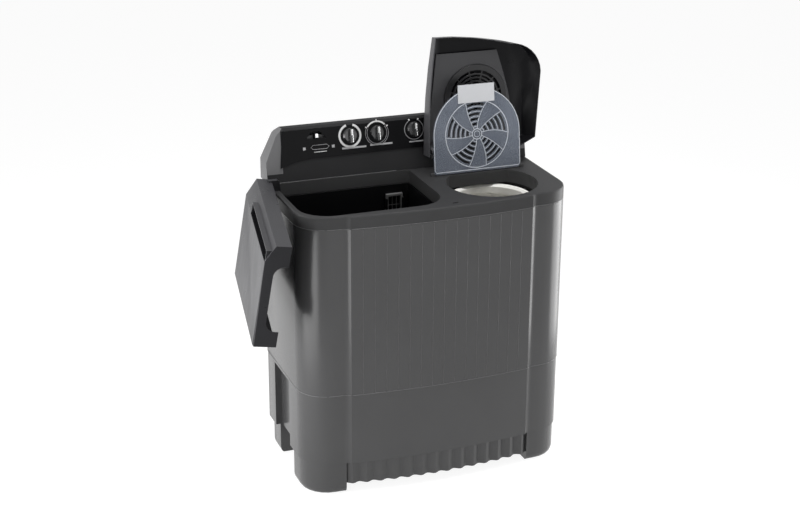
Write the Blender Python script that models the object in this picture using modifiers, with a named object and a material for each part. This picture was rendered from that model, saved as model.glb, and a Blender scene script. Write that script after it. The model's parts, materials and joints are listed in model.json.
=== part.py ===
"""Semi-automatic twin-tub washing machine, as separate pieces in metres with +Z up.

The wash tub is on the left and the spin basket on the right. The spin lid and the
clear safety lid under it stand open, and the wash lid is off its hinge and hangs by
a hook on the left rim of the deck.
"""
import math

import bmesh
import bpy
from mathutils import Matrix, Vector

# Cabinet, measured from the floor and from the middle of the cabinet
HALF_WIDTH = 0.400
FRONT_Y = -0.1915
REAR_Y = 0.209
FLOOR_GAP = 0.003
SKIRT_Z = 0.0975
SEAM_Z = 0.309
TRIM_Z = 0.799
DECK_Z = 0.8367
CORNER_RADIUS = 0.090
REAR_RADIUS = 0.030
PILLAR_INNER_X = 0.268
PILLAR_EDGE_X = 0.290
PILLAR_CROWN = 0.0006
COVE_STEPS = 4
COVE_POWER = 2.5
FACET_STEP = 0.010
FRONT_BULGE = 0.016
WALL = 0.003
GAP = 0.0003
OVERRUN = 0.002
SCREEN = 0.0006

# Base with its feet and the fluted skirt between them
BASE_INSET = 0.0015
FRONT_FOOT_INSET = 0.004
REAR_FOOT_INSET = 0.014
FOOT_LENGTH_X = 0.120
FRONT_FOOT_LENGTH = 0.1375
REAR_FOOT_LENGTH = 0.0965
FOOT_TURN_IN = 0.010
FOOT_TURN_UP = 0.020
FOOT_STEPS = 4
PAD_MARGIN = 0.023
PAD_RADIUS = 0.022
FLUTE_LOW_Z = 0.029
FLUTE_DEPTH = 0.0095
FLUTE_SETBACK = 0.0063
FLUTE_COUNT = 14
FLUTE_POINTS = 8
HOLLOW_DEPTH = 0.020
HOLLOW_FRONT_Y = -0.030
HOLLOW_REAR_Y = 0.111
HOLLOW_LEDGE = 0.008

# Deck and its two mouths
DECK_EDGE_RADIUS = 0.005
TUB_SIDE_ROOM = 0.016
TUB_BESIDE_SPIN = 0.047
TUB_FRONT = -0.182
TUB_REAR = 0.134
TUB_FRONT_RADIUS = 0.085
TUB_REAR_RADIUS = 0.015
SPIN_TUB_RADIUS = 0.1340
SPIN_SIDE_ROOM = 0.060
SPIN_FRONT_ROOM = 0.0035
SPIN_MOUTH_LIP = 0.003
SPIN_MOUTH_REACH = 0.094
SPIN_X = HALF_WIDTH - SPIN_SIDE_ROOM - SPIN_TUB_RADIUS
SPIN_Y = FRONT_Y + SPIN_FRONT_ROOM + SPIN_TUB_RADIUS
SPIN_MOUTH_RADIUS = SPIN_TUB_RADIUS - SPIN_MOUTH_LIP
SPIN_MOUTH_REAR_Y = SPIN_Y + SPIN_MOUTH_REACH
TUB_LEFT = TUB_SIDE_ROOM - HALF_WIDTH
TUB_RIGHT = SPIN_X - SPIN_TUB_RADIUS - TUB_BESIDE_SPIN
LATCH_BESIDE_TUB = 0.014
LATCH_X = TUB_RIGHT + LATCH_BESIDE_TUB
LATCH_Y = -0.190
LATCH_LENGTH = 0.016
LATCH_WIDTH = 0.006

# Wash tub
TUB_WALL = 0.0025
TUB_TOP_INSET = 0.004
TUB_FLOOR_Z = 0.362
TUB_HEEL_Z = 0.378
TUB_KNEE_Z = 0.410
TUB_KNEE_INSET = 0.012
TUB_HEEL_INSET = 0.022
TUB_FLOOR_INSET = 0.034
TUB_FLOOR_RADIUS = 0.070
SUMP_FROM_RIGHT = 0.087
SUMP_X = TUB_RIGHT - SUMP_FROM_RIGHT
SUMP_Y = 0.066
SUMP_RADIUS = 0.013

# Pulsator and its drive
PULSATOR_OFFSET = -0.0055
PULSATOR_MARGIN = 0.004
PULSATOR_X = (TUB_LEFT + TUB_RIGHT) / 2 + PULSATOR_OFFSET
PULSATOR_Y = -0.024
PULSATOR_RADIUS = min(TUB_RIGHT - TUB_LEFT, TUB_REAR - TUB_FRONT) / 2 - TUB_FLOOR_INSET - PULSATOR_MARGIN
PULSATOR_RISE = 0.0035
PULSATOR_EDGE = 0.005
PULSATOR_DOME = 0.020
PULSATOR_HUB_RADIUS = 0.026
PULSATOR_HUB_HEIGHT = 0.030
FIN_COUNT = 6
FIN_END = 0.042
FIN_LENGTH = PULSATOR_RADIUS - FIN_END
FIN_WIDTH = 0.009
FIN_HEIGHT = 0.018
DRIVE_SHAFT_RADIUS = 0.008
RUNNING_GAP = 0.0006
CASE_RADIUS = 0.045
CASE_LOW_Z = 0.262
CASE_BOSS_RADIUS = 0.017
BRACKET_THICK = 0.003
BRACKET_DROP = 0.0115
BRACKET_MARGIN = 0.012
STANDOFF_RADIUS = 0.007
PULLEY_Z = 0.215
PULLEY_THICK = 0.018
PULLEY_RADIUS = 0.0745
PULLEY_WEB = 0.006
PULLEY_HUB_RADIUS = 0.014
STUB_RADIUS = 0.006
MOTOR_X = -0.318
MOTOR_Y = 0.045
MOTOR_RADIUS = 0.050
MOTOR_LOW_Z = 0.245
MOTOR_PULLEY_RADIUS = 0.0185
GROOVE_DEPTH = 0.0075
BELT_RADIUS = 0.003
BELT_CLEAR = 0.0008

# Spin side
SPIN_TUB_FLOOR_Z = 0.430
SPIN_TUB_HOLE = 0.034
SPIN_DRAIN_SHARE = 0.72
SPIN_DRAIN_ANGLE = 150
BASKET_CLEAR = 0.014
BASKET_RADIUS = SPIN_TUB_RADIUS - BASKET_CLEAR
BASKET_WALL = 0.0018
BASKET_FLOOR_Z = 0.462
BASKET_HEEL = 0.012
BASKET_HUB_RADIUS = 0.030
BASKET_HUB_DROP = 0.020
BASKET_CONE = 0.020
RING_TOP_Z = 0.795
RING_HEIGHT = 0.030
RING_LAP = 0.0025
RING_WIDTH = 0.0195
RING_OUTER_RADIUS = BASKET_RADIUS + RING_LAP
RING_INNER_RADIUS = RING_OUTER_RADIUS - RING_WIDTH
SPIN_SHAFT_RADIUS = 0.008
SPIN_NUT_RADIUS = 0.015
SPIN_NUT_HEIGHT = 0.010
SEAL_LIP_RADIUS = 0.0337
SEAL_FLANGE_RADIUS = 0.046
SEAL_FOLD_RADIUS = 0.030
SEAL_NECK_RADIUS = 0.022
SEAL_LOW_Z = 0.388
SEAL_FOLDS = 3
DRUM_RADIUS = 0.045
DRUM_LOW_Z = 0.338
DRUM_HIGH_Z = 0.364
SPIN_MOTOR_RADIUS = 0.062
SPIN_MOTOR_HEIGHT = 0.150
SPIN_MOTOR_BOSS_RADIUS = 0.020
SPIN_MOTOR_BOSS = 0.014
SPIN_MOTOR_BORE = 0.024
MOTOR_PLATE_RADIUS = 0.078
MOTOR_PLATE_THICK = 0.003
DAMPER_CIRCLE = 0.056
DAMPER_RADIUS = 0.016
DAMPER_HEIGHT = 0.049
DAMPER_WAIST = 0.004
DAMPER_FOLDS = 3
BRAKE_POST_ANGLE = -60
BRAKE_PIVOT_REACH = 0.0545
BRAKE_POST_RADIUS = 0.004
BRAKE_EYE_RADIUS = 0.0075
BRAKE_THICK = 0.010
BRAKE_SHOE_THICK = 0.007
BRAKE_SHOE_START = 24
BRAKE_SHOE_END = 72

# Drain
VALVE_X = 0.040
VALVE_Y = 0.122
VALVE_HALF = 0.030
VALVE_TOP_Z = 0.262
VALVE_SEAT_Z = 0.156
VALVE_SEAT_THICK = 0.006
VALVE_WALL = 0.004
VALVE_SEAT_RADIUS = 0.014
VALVE_CAP_THICK = 0.006
PLUG_RADIUS = 0.018
PLUG_HEIGHT = 0.016
PLUG_ROD_RADIUS = 0.003
PLUG_ROD_ABOVE = 0.030
HOSE_RADIUS = 0.013
HOSE_WALL = 0.0025
WASH_PORT_Z = 0.225
SPIN_PORT_Z = 0.128
OUTLET_RADIUS = 0.0155
OUTLET_WALL = 0.003
OUTLET_Z = 0.128
OUTLET_REACH = 0.034
OUTLET_FLANGE_RADIUS = 0.023
FLANGE_THICK = 0.003
CAPACITOR_X = 0.060
CAPACITOR_Y = -0.120
CAPACITOR_RADIUS = 0.020
CAPACITOR_HEIGHT = 0.072
GLAND_X = 0.300
GLAND_Z = 0.250
GLAND_RADIUS = 0.009
GLAND_FLANGE_RADIUS = 0.014
GLAND_BORE = 0.004
GLAND_REACH = 0.014

# Rear service cover
COVER_LEFT = -0.375
COVER_RIGHT = -0.010
COVER_LOW_Z = 0.330
COVER_HIGH_Z = 0.720
COVER_LAP = 0.012
COVER_THICK = 0.0025

# Control housing and fascia
FACE_Y = 0.1365
FACE_LEAN = 12.0
HOUSING_TOP_Z = 0.985
HOUSING_SHOULDER_Z = 0.896
HOUSING_TOP_HALF = 0.345
HOUSING_CHAMFER_X = 0.364
HOUSING_CHAMFER_Z = 0.967
HOUSING_REAR_CHAMFER = 0.012
HOUSING_END_INSET = 0.0015
FASCIA_HALF = 0.346
FASCIA_WING_HALF = 0.358
FASCIA_LOW = 0.0615
FASCIA_HIGH = 0.1450
FASCIA_WING_LOW = 0.0410
FASCIA_BEND_X = 0.263
FASCIA_THICK = 0.0025
KNOB_RADIUS = 0.0215
KNOB_SKIRT = 0.004
KNOB_HEIGHT = 0.007
KNOB_GRIP_LENGTH = 0.040
KNOB_GRIP_WIDTH = 0.009
KNOB_GRIP_HEIGHT = 0.018
KNOB_STEM_RADIUS = 0.0035
KNOB_STEM_LENGTH = 0.0085
DIAL_S = 0.115
WASH_TIMER_X = -0.146
SELECTOR_X = -0.064
SPIN_TIMER_X = 0.050
TIMER_WIDTH = 0.056
TIMER_HEIGHT = 0.050
TIMER_DEPTH = 0.024
SELECTOR_WIDTH = 0.044
SELECTOR_HEIGHT = 0.036
SELECTOR_DEPTH = 0.018
LEVER_X = -0.2475
LEVER_PIVOT_S = 0.106
LEVER_LENGTH = 0.024
LEVER_WIDTH = 0.008
LEVER_HEIGHT = 0.010
LEVER_RISE = 0.0035
LEVER_HUB_RADIUS = 0.007
FAN_HALF_WIDTH = 0.030
FAN_TOP_HALF = 0.013
FAN_LOW_S = 0.116
FAN_HIGH_S = 0.136
DIVERTER_WIDTH = 0.060
DIVERTER_HEIGHT = 0.040
DIVERTER_DEPTH = 0.020
INLET_Z = 0.915
INLET_RADIUS = 0.0131
INLET_BORE = 0.009
INLET_FLANGE_RADIUS = 0.018
INLET_REACH = 0.024
INLET_INSIDE = 0.006
BACK_COVER_THICK = 0.0025

# Spin lid, described closed, and its hinge
SPIN_HINGE_Y = 0.128
SPIN_HINGE_Z = 0.885
SPIN_OPEN = 97.0
LID_CLEAR = 0.0095
LID_WALL = 0.0025
LID_LEFT_REAR = 0.0715
LID_LEFT_FRONT = 0.102
LID_LEFT_BOW = 0.0075
LID_REAR_CUT = 0.028
LID_REAR_KEEP_X = 0.345
LID_FRONT = -0.205
LID_REAR_LAP = 0.008
LID_TOP_RISE = 0.013
LID_FRONT_DROP = 0.020
LID_TOP_INSET = 0.002
LID_EDGE = 0.008
LID_TOP_CORNER_X = 0.309
LID_TOP_CORNER_BACK = 0.024
LID_TOP_ROUND_X = 0.076
LID_TOP_ROUND_Y = 0.180
LID_LOW_CORNER_X = 0.335
LID_LOW_CORNER_BACK = 0.033
LID_LOW_ROUND_X = 0.094
LID_LOW_ROUND_Y = 0.087
LID_LOW_TAPER = 0.022
LID_SIDE_SKIRT = 0.016
LID_FOLD_SHARE = 0.40
LID_BOW_STEPS = 4
LID_ROUND_STEPS = 8
EAR_WIDTH = 0.010
EAR_RADIUS = 0.009
EAR_ROOT_LOW_Z = 0.856
EAR_ROOT_HIGH_Z = 0.872
LEFT_EAR_X = 0.100
RIGHT_EAR_X = 0.318
PIN_RADIUS = 0.003
PIN_CLEAR = 0.0004
BOSS_WIDTH = 0.008
INNER_DROP = 0.010
INNER_THICK = 0.002
POST_CLEAR = 0.0015
INNER_LEFT_MARGIN = 0.010
INNER_RIGHT_REAR = 0.352
INNER_RIGHT_FRONT = 0.300
INNER_FRONT_MARGIN = 0.050
INNER_REAR_MARGIN = 0.030
GRILLE_X = 0.232
GRILLE_REACH = 0.148
GRILLE_RADIUS = 0.099
GRILLE_RIM = 0.018
GRILLE_THICK = 0.005
GRILLE_HUB = 0.018
GRILLE_BAR = 0.0035
GRILLE_BARS = 12
GRILLE_HOOPS = 5
GRILLE_HOOP_WIDTH = 0.0045

# Safety lid under the spin lid
SAFETY_HINGE_Y = 0.050
SAFETY_HINGE_RISE = 0.0070
SAFETY_THICK = 0.003
SAFETY_DROP = 0.0045
SAFETY_HALF = 0.134
SAFETY_ARC_REACH = 0.104
SAFETY_CORNER = 0.010
SAFETY_REAR = 0.004
SAFETY_RIM = 0.005
SAFETY_RIM_HEIGHT = 0.0022
SAFETY_DISC_RADIUS = 0.095
SAFETY_HUB_RADIUS = 0.016
BLADE_COUNT = 5
BLADE_START = -104.5
BLADE_SLOTS = 5
BLADE_SLOT_WIDTH = 0.0072
BLADE_SPAN = 36.0
BLADE_SWEEP = -14.5
BLADE_ROOT_SHARE = 0.85
KNUCKLE_RADIUS = 0.0035
KNUCKLE_BORE_CLEAR = 0.0005
KNUCKLE_PIN = 0.0022
KNUCKLE_LENGTH = 0.010
TAG_LEFT = 0.150
TAG_RIGHT = 0.2625
TAG_NEAR = 0.196
TAG_FAR = 0.2485
TAG_THICK = 0.0006

# Wash lid, described closed with its front left corner at the origin
WASH_LID_LENGTH = 0.385
WASH_LID_DEPTH = 0.309
WASH_LID_SKIRT = 0.065
WASH_LID_BEVEL_DEPTH = 0.048
WASH_LID_BEVEL_DROP = 0.024
WASH_LID_EDGE = 0.004
WASH_LID_ARCH_FRONT = 0.062
WASH_LID_ARCH_REAR = 0.262
WASH_LID_ARCH_TOP = 0.027
WASH_LID_ARCH_RADIUS = 0.030
GRIP_LEFT = 0.010
GRIP_RIGHT = 0.275
GRIP_FRONT = 0.021
GRIP_REAR = 0.053
GRIP_DEPTH = 0.034
HANG_OUT = 0.0415
HANG_X = -HALF_WIDTH - HANG_OUT
HANG_Y = 0.098
HANG_Z = 0.871
HANG_YAW = -7.1
HANG_LEAN = 7.6
HANG_DROOP = 9.7
HOOK_WIDTH = 0.014
HOOK_Y = 0.080
HOOK_TOP_Z = 0.868
HOOK_OUT = 0.014
HOOK_OUT_X = -HALF_WIDTH - HOOK_OUT
HOOK_THICK = 0.004
HOOK_TONGUE = 0.014

# Lint filter on the rear wall of the wash tub
FILTER_FROM_RIGHT = 0.051
FILTER_X = TUB_RIGHT - FILTER_FROM_RIGHT
FILTER_WIDTH = 0.050
FILTER_DEPTH = 0.011
FILTER_LOW_Z = 0.575
FILTER_HIGH_Z = 0.775
FILTER_BORDER = 0.006
FILTER_WALL = 0.002
FILTER_STANDOFF = 0.0115
NET_COLUMNS = 3
NET_ROWS = 7
NET_STRAND = 0.0012

# Facets of the round pieces
FINE = 40
MEDIUM = 24
SMALL = 16
CORNER_STEPS = 6

# Colour, roughness and metallic of each finish
FINISHES = {
    "grey_shell": ((0.115, 0.113, 0.115), 0.34, 0.0),
    "grey_deck": ((0.085, 0.083, 0.086), 0.36, 0.0),
    "dark_trim": ((0.030, 0.030, 0.033), 0.30, 0.0),
    "black_gloss": ((0.008, 0.008, 0.010), 0.08, 0.0),
    "smoked": ((0.035, 0.034, 0.038), 0.16, 0.0),
    "ivory": ((0.80, 0.78, 0.70), 0.35, 0.0),
    "frost": ((0.52, 0.56, 0.62), 0.22, 0.0),
    "white": ((0.86, 0.86, 0.86), 0.50, 0.0),
    "silver": ((0.60, 0.60, 0.62), 0.25, 0.9),
    "steel": ((0.42, 0.43, 0.44), 0.32, 1.0),
    "cast_metal": ((0.30, 0.31, 0.32), 0.55, 0.9),
    "rubber": ((0.016, 0.016, 0.016), 0.75, 0.0),
    "tub_plastic": ((0.045, 0.045, 0.050), 0.42, 0.0),
    "pale_plastic": ((0.62, 0.62, 0.60), 0.45, 0.0),
    "blue_plastic": ((0.10, 0.22, 0.42), 0.40, 0.0),
}

PARTS = None
CUTTERS = None


def clear_scene():
    """Empties the open file and makes the collections of the parts and of the cutters."""
    global PARTS, CUTTERS
    for old in list(bpy.data.objects):
        bpy.data.objects.remove(old, do_unlink=True)
    PARTS = bpy.data.collections.new("twin_tub_washing_machine")
    CUTTERS = bpy.data.collections.new("cutters")
    bpy.context.scene.collection.children.link(PARTS)
    bpy.context.scene.collection.children.link(CUTTERS)


def finish_of(part_name, finish):
    """The part's own material."""
    colour, roughness, metallic = FINISHES[finish]
    material = bpy.data.materials.new(part_name + "_" + finish)
    material.use_nodes = True
    shader = material.node_tree.nodes["Principled BSDF"]
    shader.inputs["Base Color"].default_value = (*colour, 1)
    shader.inputs["Roughness"].default_value = roughness
    shader.inputs["Metallic"].default_value = metallic
    material.diffuse_color = (*colour, 1)
    return material


def add_object(name, mesh, finish=None):
    """A part with its finish, or a hidden cutter where there is no finish."""
    thing = bpy.data.objects.new(name, mesh)
    if finish:
        PARTS.objects.link(thing)
        mesh.materials.append(finish_of(name, finish))
    else:
        hide(thing)
    return thing


def hide(thing):
    CUTTERS.objects.link(thing)
    thing.hide_render = True
    thing.display_type = "WIRE"


def mesh_from(name, bm, sharp=35):
    """Writes the bmesh to a mesh that is shaded smooth but for its sharp edges."""
    bmesh.ops.recalc_face_normals(bm, faces=bm.faces[:])
    mesh = bpy.data.meshes.new(name)
    bm.to_mesh(mesh)
    bm.free()
    mesh.shade_smooth()
    mesh.set_sharp_from_angle(angle=math.radians(sharp))
    return mesh


def box(name, low, high, finish=None):
    """A box from its lowest to its highest corner."""
    low, high = Vector(low), Vector(high)
    bm = bmesh.new()
    bmesh.ops.create_cube(bm, size=1)
    bmesh.ops.scale(bm, vec=high - low, verts=bm.verts)
    bmesh.ops.translate(bm, vec=(high + low) / 2, verts=bm.verts)
    return add_object(name, mesh_from(name, bm), finish)


AXIS_TURN = {
    "X": Matrix(((0, 0, 1, 0), (1, 0, 0, 0), (0, 1, 0, 0), (0, 0, 0, 1))),
    "Y": Matrix(((1, 0, 0, 0), (0, 0, -1, 0), (0, 1, 0, 0), (0, 0, 0, 1))),
    "Z": Matrix.Identity(4),
}


def along(axis, low, high):
    """The stretch of an outline's own depth that lies between two values of a world axis."""
    return (-high, -low) if axis == "Y" else (low, high)


def cylinder(name, radius, low, high, centre, axis="Z", segments=SMALL, finish=None):
    """A round bar along an axis. Its centre is given in the two other axes, in XYZ order."""
    low, high = along(axis, low, high)
    bm = bmesh.new()
    bmesh.ops.create_cone(bm, cap_ends=True, segments=segments, radius1=radius, radius2=radius,
                          depth=high - low)
    bmesh.ops.translate(bm, vec=(centre[0], centre[1], (low + high) / 2), verts=bm.verts)
    bmesh.ops.transform(bm, matrix=AXIS_TURN[axis], verts=bm.verts)
    return add_object(name, mesh_from(name, bm), finish)


def slab(name, outline, low, high, axis="Z", finish=None):
    """A flat outline with thickness: XY outline along Z, YZ along X, or XZ along Y."""
    return slabs(name, [outline], low, high, axis, finish)


def slabs(name, outlines, low, high, axis="Z", finish=None):
    """Several outlines, apart from each other, with the same thickness."""
    low, high = along(axis, low, high)
    curve = bpy.data.curves.new(name, "CURVE")
    curve.dimensions = "2D"
    curve.fill_mode = "BOTH"
    curve.extrude = (high - low) / 2
    for outline in outlines:
        spline = curve.splines.new("POLY")
        spline.points.add(len(outline) - 1)
        for point, (across, up) in zip(spline.points, outline):
            point.co = (across, up, 0, 1)
        spline.use_cyclic_u = True
    drawn = bpy.data.objects.new(name + "_outline", curve)
    CUTTERS.objects.link(drawn)
    mesh = solid_mesh_of(drawn)
    mesh.transform(AXIS_TURN[axis] @ Matrix.Translation((0, 0, (low + high) / 2)))
    return add_object(name, mesh, finish)


def solid_mesh_of(drawn):
    """The welded mesh of a curve object, which is then removed."""
    bpy.context.view_layer.update()
    seen = drawn.evaluated_get(bpy.context.evaluated_depsgraph_get())
    mesh = bpy.data.meshes.new_from_object(seen)
    bm = bmesh.new()
    bm.from_mesh(mesh)
    bmesh.ops.remove_doubles(bm, verts=bm.verts, dist=GAP / 10)
    name = drawn.name.replace("_outline", "")
    bpy.data.objects.remove(drawn, do_unlink=True)
    return mesh_from(name, bm)


def turned(name, profile, centre, segments=MEDIUM, closed=False, finish=None, axis="Z", along_at=0):
    """A profile of (radius, height) points turned round an axis, top to bottom on its outer side.

    The object's origin is on the axis, at the given height along it.
    """
    bm = bmesh.new()
    corners = [bm.verts.new((radius, 0, height)) for radius, height in profile]
    for first, second in zip(corners, corners[1:]):
        bm.edges.new((first, second))
    if closed:
        bm.edges.new((corners[-1], corners[0]))
    mesh = bpy.data.meshes.new(name)
    bm.to_mesh(mesh)
    bm.free()
    thing = add_object(name, mesh, finish)
    if axis == "Z":
        thing.location = (centre[0], centre[1], along_at)
    if axis == "Y":
        thing.location = (centre[0], along_at, centre[1])
        thing.rotation_euler = (math.radians(-90), 0, 0)
    screw = thing.modifiers.new("turn", "SCREW")
    screw.steps = screw.render_steps = segments
    screw.use_merge_vertices = True
    screw.merge_threshold = GAP / 10
    screw.use_smooth_shade = True
    return thing


def tube(name, route, radius, finish=None, resolution=2, closed=False, wall=None):
    """A bar along a route of points, or an open hose where a wall is given."""
    curve = bpy.data.curves.new(name, "CURVE")
    curve.dimensions = "3D"
    curve.bevel_depth = radius
    curve.bevel_resolution = resolution
    curve.use_fill_caps = wall is None
    spline = curve.splines.new("POLY")
    spline.points.add(len(route) - 1)
    for point, place in zip(spline.points, route):
        point.co = (*place, 1)
    spline.use_cyclic_u = closed
    drawn = bpy.data.objects.new(name + "_outline", curve)
    CUTTERS.objects.link(drawn)
    thing = add_object(name, solid_mesh_of(drawn), finish)
    if wall:
        thicken(thing, wall)
    return thing


def thicken(thing, wall, outward=False):
    """Gives an open skin its wall."""
    solid = thing.modifiers.new("wall", "SOLIDIFY")
    solid.thickness = wall
    solid.offset = 1 if outward else -1
    solid.use_even_offset = True


def loft(name, rings, finish=None, cap_low=False, cap_high=False, open_rear=False):
    """A skin through rings of points that match one another, from the lowest ring up."""
    bm = bmesh.new()
    levels = [[bm.verts.new(point) for point in ring] for ring in rings]
    count = len(levels[0])
    last = count - 1 if open_rear else count
    for lower, upper in zip(levels, levels[1:]):
        for k in range(last):
            following = (k + 1) % count
            bm.faces.new((lower[k], lower[following], upper[following], upper[k]))
    if cap_low:
        bm.faces.new(levels[0][::-1])
    if cap_high:
        bm.faces.new(levels[-1])
    mesh = bpy.data.meshes.new(name)
    bm.to_mesh(mesh)
    bm.free()
    mesh.shade_smooth()
    mesh.set_sharp_from_angle(angle=math.radians(35))
    return add_object(name, mesh, finish)


def combine(thing, other, operation):
    """Cuts, joins or trims a part with another object, which becomes a hidden cutter."""
    if other.name in PARTS.objects:
        PARTS.objects.unlink(other)
        hide(other)
    change = thing.modifiers.new(operation.lower() + "_" + other.name, "BOOLEAN")
    change.operation = operation
    change.solver = "EXACT"
    change.object = other
    return thing


def cut(thing, *others):
    for other in others:
        combine(thing, other, "DIFFERENCE")
    return thing


def join(thing, *others):
    for other in others:
        combine(thing, other, "UNION")
    return thing


def trim_to(thing, other):
    return combine(thing, other, "INTERSECT")


def arc(centre_x, centre_y, radius, start, end, steps=CORNER_STEPS):
    """Points on an arc, with both its ends, in degrees."""
    points = []
    for k in range(steps + 1):
        angle = math.radians(start + (end - start) * k / steps)
        points.append((centre_x + radius * math.cos(angle), centre_y + radius * math.sin(angle)))
    return points


def rounded_plan(left, right, front, rear, radii, steps=CORNER_STEPS):
    """A rectangle with its own radius at the front left, front right, rear right and rear left."""
    front_left, front_right, rear_right, rear_left = radii
    points = arc(left + front_left, front + front_left, front_left, 180, 270, steps)
    points += arc(right - front_right, front + front_right, front_right, 270, 360, steps)
    points += arc(right - rear_right, rear - rear_right, rear_right, 0, 90, steps)
    points += arc(left + rear_left, rear - rear_left, rear_left, 90, 180, steps)
    return points


def front_line(x, inset=0):
    """Where the middle of the front is, in Y, between the two pillars."""
    share = x / PILLAR_INNER_X
    return FRONT_Y + inset - FACET_STEP - FRONT_BULGE * (1 - share * share)


def cove_point(side, step, front):
    """A point of the hollow curve that leads from a pillar's face out to the bowed front."""
    share = step / COVE_STEPS
    x = PILLAR_EDGE_X + (PILLAR_INNER_X - PILLAR_EDGE_X) * share
    rise = PILLAR_CROWN + (FACET_STEP - PILLAR_CROWN) * share ** COVE_POWER
    return (side * x, front - rise)


def cabinet_plan(inset=0):
    """Plan of the cabinet, with its round front corners, pillars and bowed front."""
    side = HALF_WIDTH - inset
    corner = CORNER_RADIUS - inset
    heel = REAR_RADIUS - inset
    front = FRONT_Y + inset
    rear = REAR_Y - inset
    points = arc(-side + corner, front + corner, corner, 180, 270)
    for k in range(COVE_STEPS):
        points.append(cove_point(-1, k, front))
    bow_steps = 8
    for k in range(bow_steps + 1):
        x = PILLAR_INNER_X * (2 * k / bow_steps - 1)
        points.append((x, front_line(x, inset)))
    for k in reversed(range(COVE_STEPS)):
        points.append(cove_point(1, k, front))
    points += arc(side - corner, front + corner, corner, 270, 360)
    points += arc(side - heel, rear - heel, heel, 0, 90, 3)
    points += arc(-side + heel, rear - heel, heel, 90, 180, 3)
    return points


def at_height(outline, z):
    return [(x, y, z) for x, y in outline]


def round_top_edge(thing, top, radius):
    """Rounds the outer edges that lie at the given height."""
    bm = bmesh.new()
    bm.from_mesh(thing.data)
    rim = []
    for edge in bm.edges:
        level = all(abs(corner.co.z - top) < GAP for corner in edge.verts)
        if level and edge.calc_face_angle(0) > math.radians(45):
            rim.append(edge)
    bmesh.ops.bevel(bm, geom=rim, offset=radius, segments=2, profile=0.5, affect="EDGES")
    bm.to_mesh(thing.data)
    bm.free()


def build_base():
    """Lower cabinet: a tray with hollow sides, four feet and the fluted front skirt."""
    plan = cabinet_plan(BASE_INSET)
    top = SEAM_Z - GAP
    ledge = top - HOLLOW_LEDGE
    base = slab("base", plan, SKIRT_Z, top, finish="grey_shell")
    room = slab("base_room", cabinet_plan(BASE_INSET + WALL), SKIRT_Z + WALL, top + OVERRUN)
    cut(room, *side_hollows("room_hollow", WALL, SKIRT_Z, ledge + WALL))
    cut(base, room, *side_hollows("side_hollow", 0, SKIRT_Z - OVERRUN, ledge))
    deep = FACET_STEP + FRONT_BULGE + OVERRUN
    join(base, build_feet("front_feet", FRONT_FOOT_INSET, FRONT_Y - deep, FRONT_Y + FRONT_FOOT_LENGTH),
         build_feet("rear_feet", REAR_FOOT_INSET, REAR_Y - REAR_FOOT_LENGTH, REAR_Y),
         build_flutes(HALF_WIDTH - FOOT_LENGTH_X))
    outlet = cylinder("outlet_hole", OUTLET_RADIUS + RUNNING_GAP, REAR_Y - 2 * WALL - OVERRUN,
                      REAR_Y + OVERRUN, (VALVE_X, OUTLET_Z), "Y", MEDIUM)
    gland = cylinder("gland_hole", GLAND_RADIUS + GAP, REAR_Y - 2 * WALL - OVERRUN,
                     REAR_Y + OVERRUN, (GLAND_X, GLAND_Z), "Y")
    cut(base, outlet, gland)
    for index, (across, deep) in enumerate(foot_centres()):
        turned("foot_pad_" + str(index + 1),
               [(0, FLOOR_GAP - GAP), (PAD_RADIUS, FLOOR_GAP - GAP), (PAD_RADIUS - GAP, 0), (0, 0)],
               (across, deep), SMALL, finish="rubber")


def side_hollows(name, margin, low, high):
    """Blocks that fill the upright hollow in each side, larger all round by a margin."""
    inner = HALF_WIDTH - BASE_INSET - HOLLOW_DEPTH - margin
    outer = HALF_WIDTH + OVERRUN
    front, rear = HOLLOW_FRONT_Y - margin, HOLLOW_REAR_Y + margin
    return [box(name + "_left", (-outer, front, low), (-inner, rear, high)),
            box(name + "_right", (inner, front, low), (outer, rear, high))]


def build_feet(name, inset, front, rear):
    """The pair of corner feet between two depths, their lower edges drawn in and rounded."""
    rings = []
    for k in range(FOOT_STEPS + 1):
        turn = math.pi / 2 * k / FOOT_STEPS
        plan = cabinet_plan(BASE_INSET + inset + FOOT_TURN_IN * (1 - math.sin(turn)))
        rings.append(at_height(plan, FLOOR_GAP + FOOT_TURN_UP * (1 - math.cos(turn))))
    rings.append(at_height(cabinet_plan(BASE_INSET + inset), SKIRT_Z + WALL / 2))
    feet = loft(name, rings, cap_low=True, cap_high=True)
    low, high = FLOOR_GAP - OVERRUN, SKIRT_Z + WALL
    outer, inner = HALF_WIDTH + OVERRUN, HALF_WIDTH - FOOT_LENGTH_X
    trim_to(feet, box(name + "_reach", (-outer, front, low), (outer, rear, high)))
    wide = FACET_STEP + FRONT_BULGE
    return cut(feet, box(name + "_between", (-inner, front - wide, low - OVERRUN),
                         (inner, rear + OVERRUN, high + OVERRUN)))


def foot_centres():
    """Middle of each foot pad, on the flat under the foot and inside its round corner."""
    edge = BASE_INSET + FOOT_TURN_IN + PAD_MARGIN + PAD_RADIUS
    front_x = HALF_WIDTH - FRONT_FOOT_INSET - edge
    rear_x = HALF_WIDTH - REAR_FOOT_INSET - BASE_INSET - FOOT_TURN_IN - PAD_MARGIN / 3 - PAD_RADIUS
    front = FRONT_Y + FRONT_FOOT_INSET + edge
    rear = REAR_Y - REAR_FOOT_INSET - BASE_INSET - FOOT_TURN_IN - PAD_MARGIN / 3 - PAD_RADIUS
    return [(-front_x, front), (front_x, front), (rear_x, rear), (-rear_x, rear)]


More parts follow.
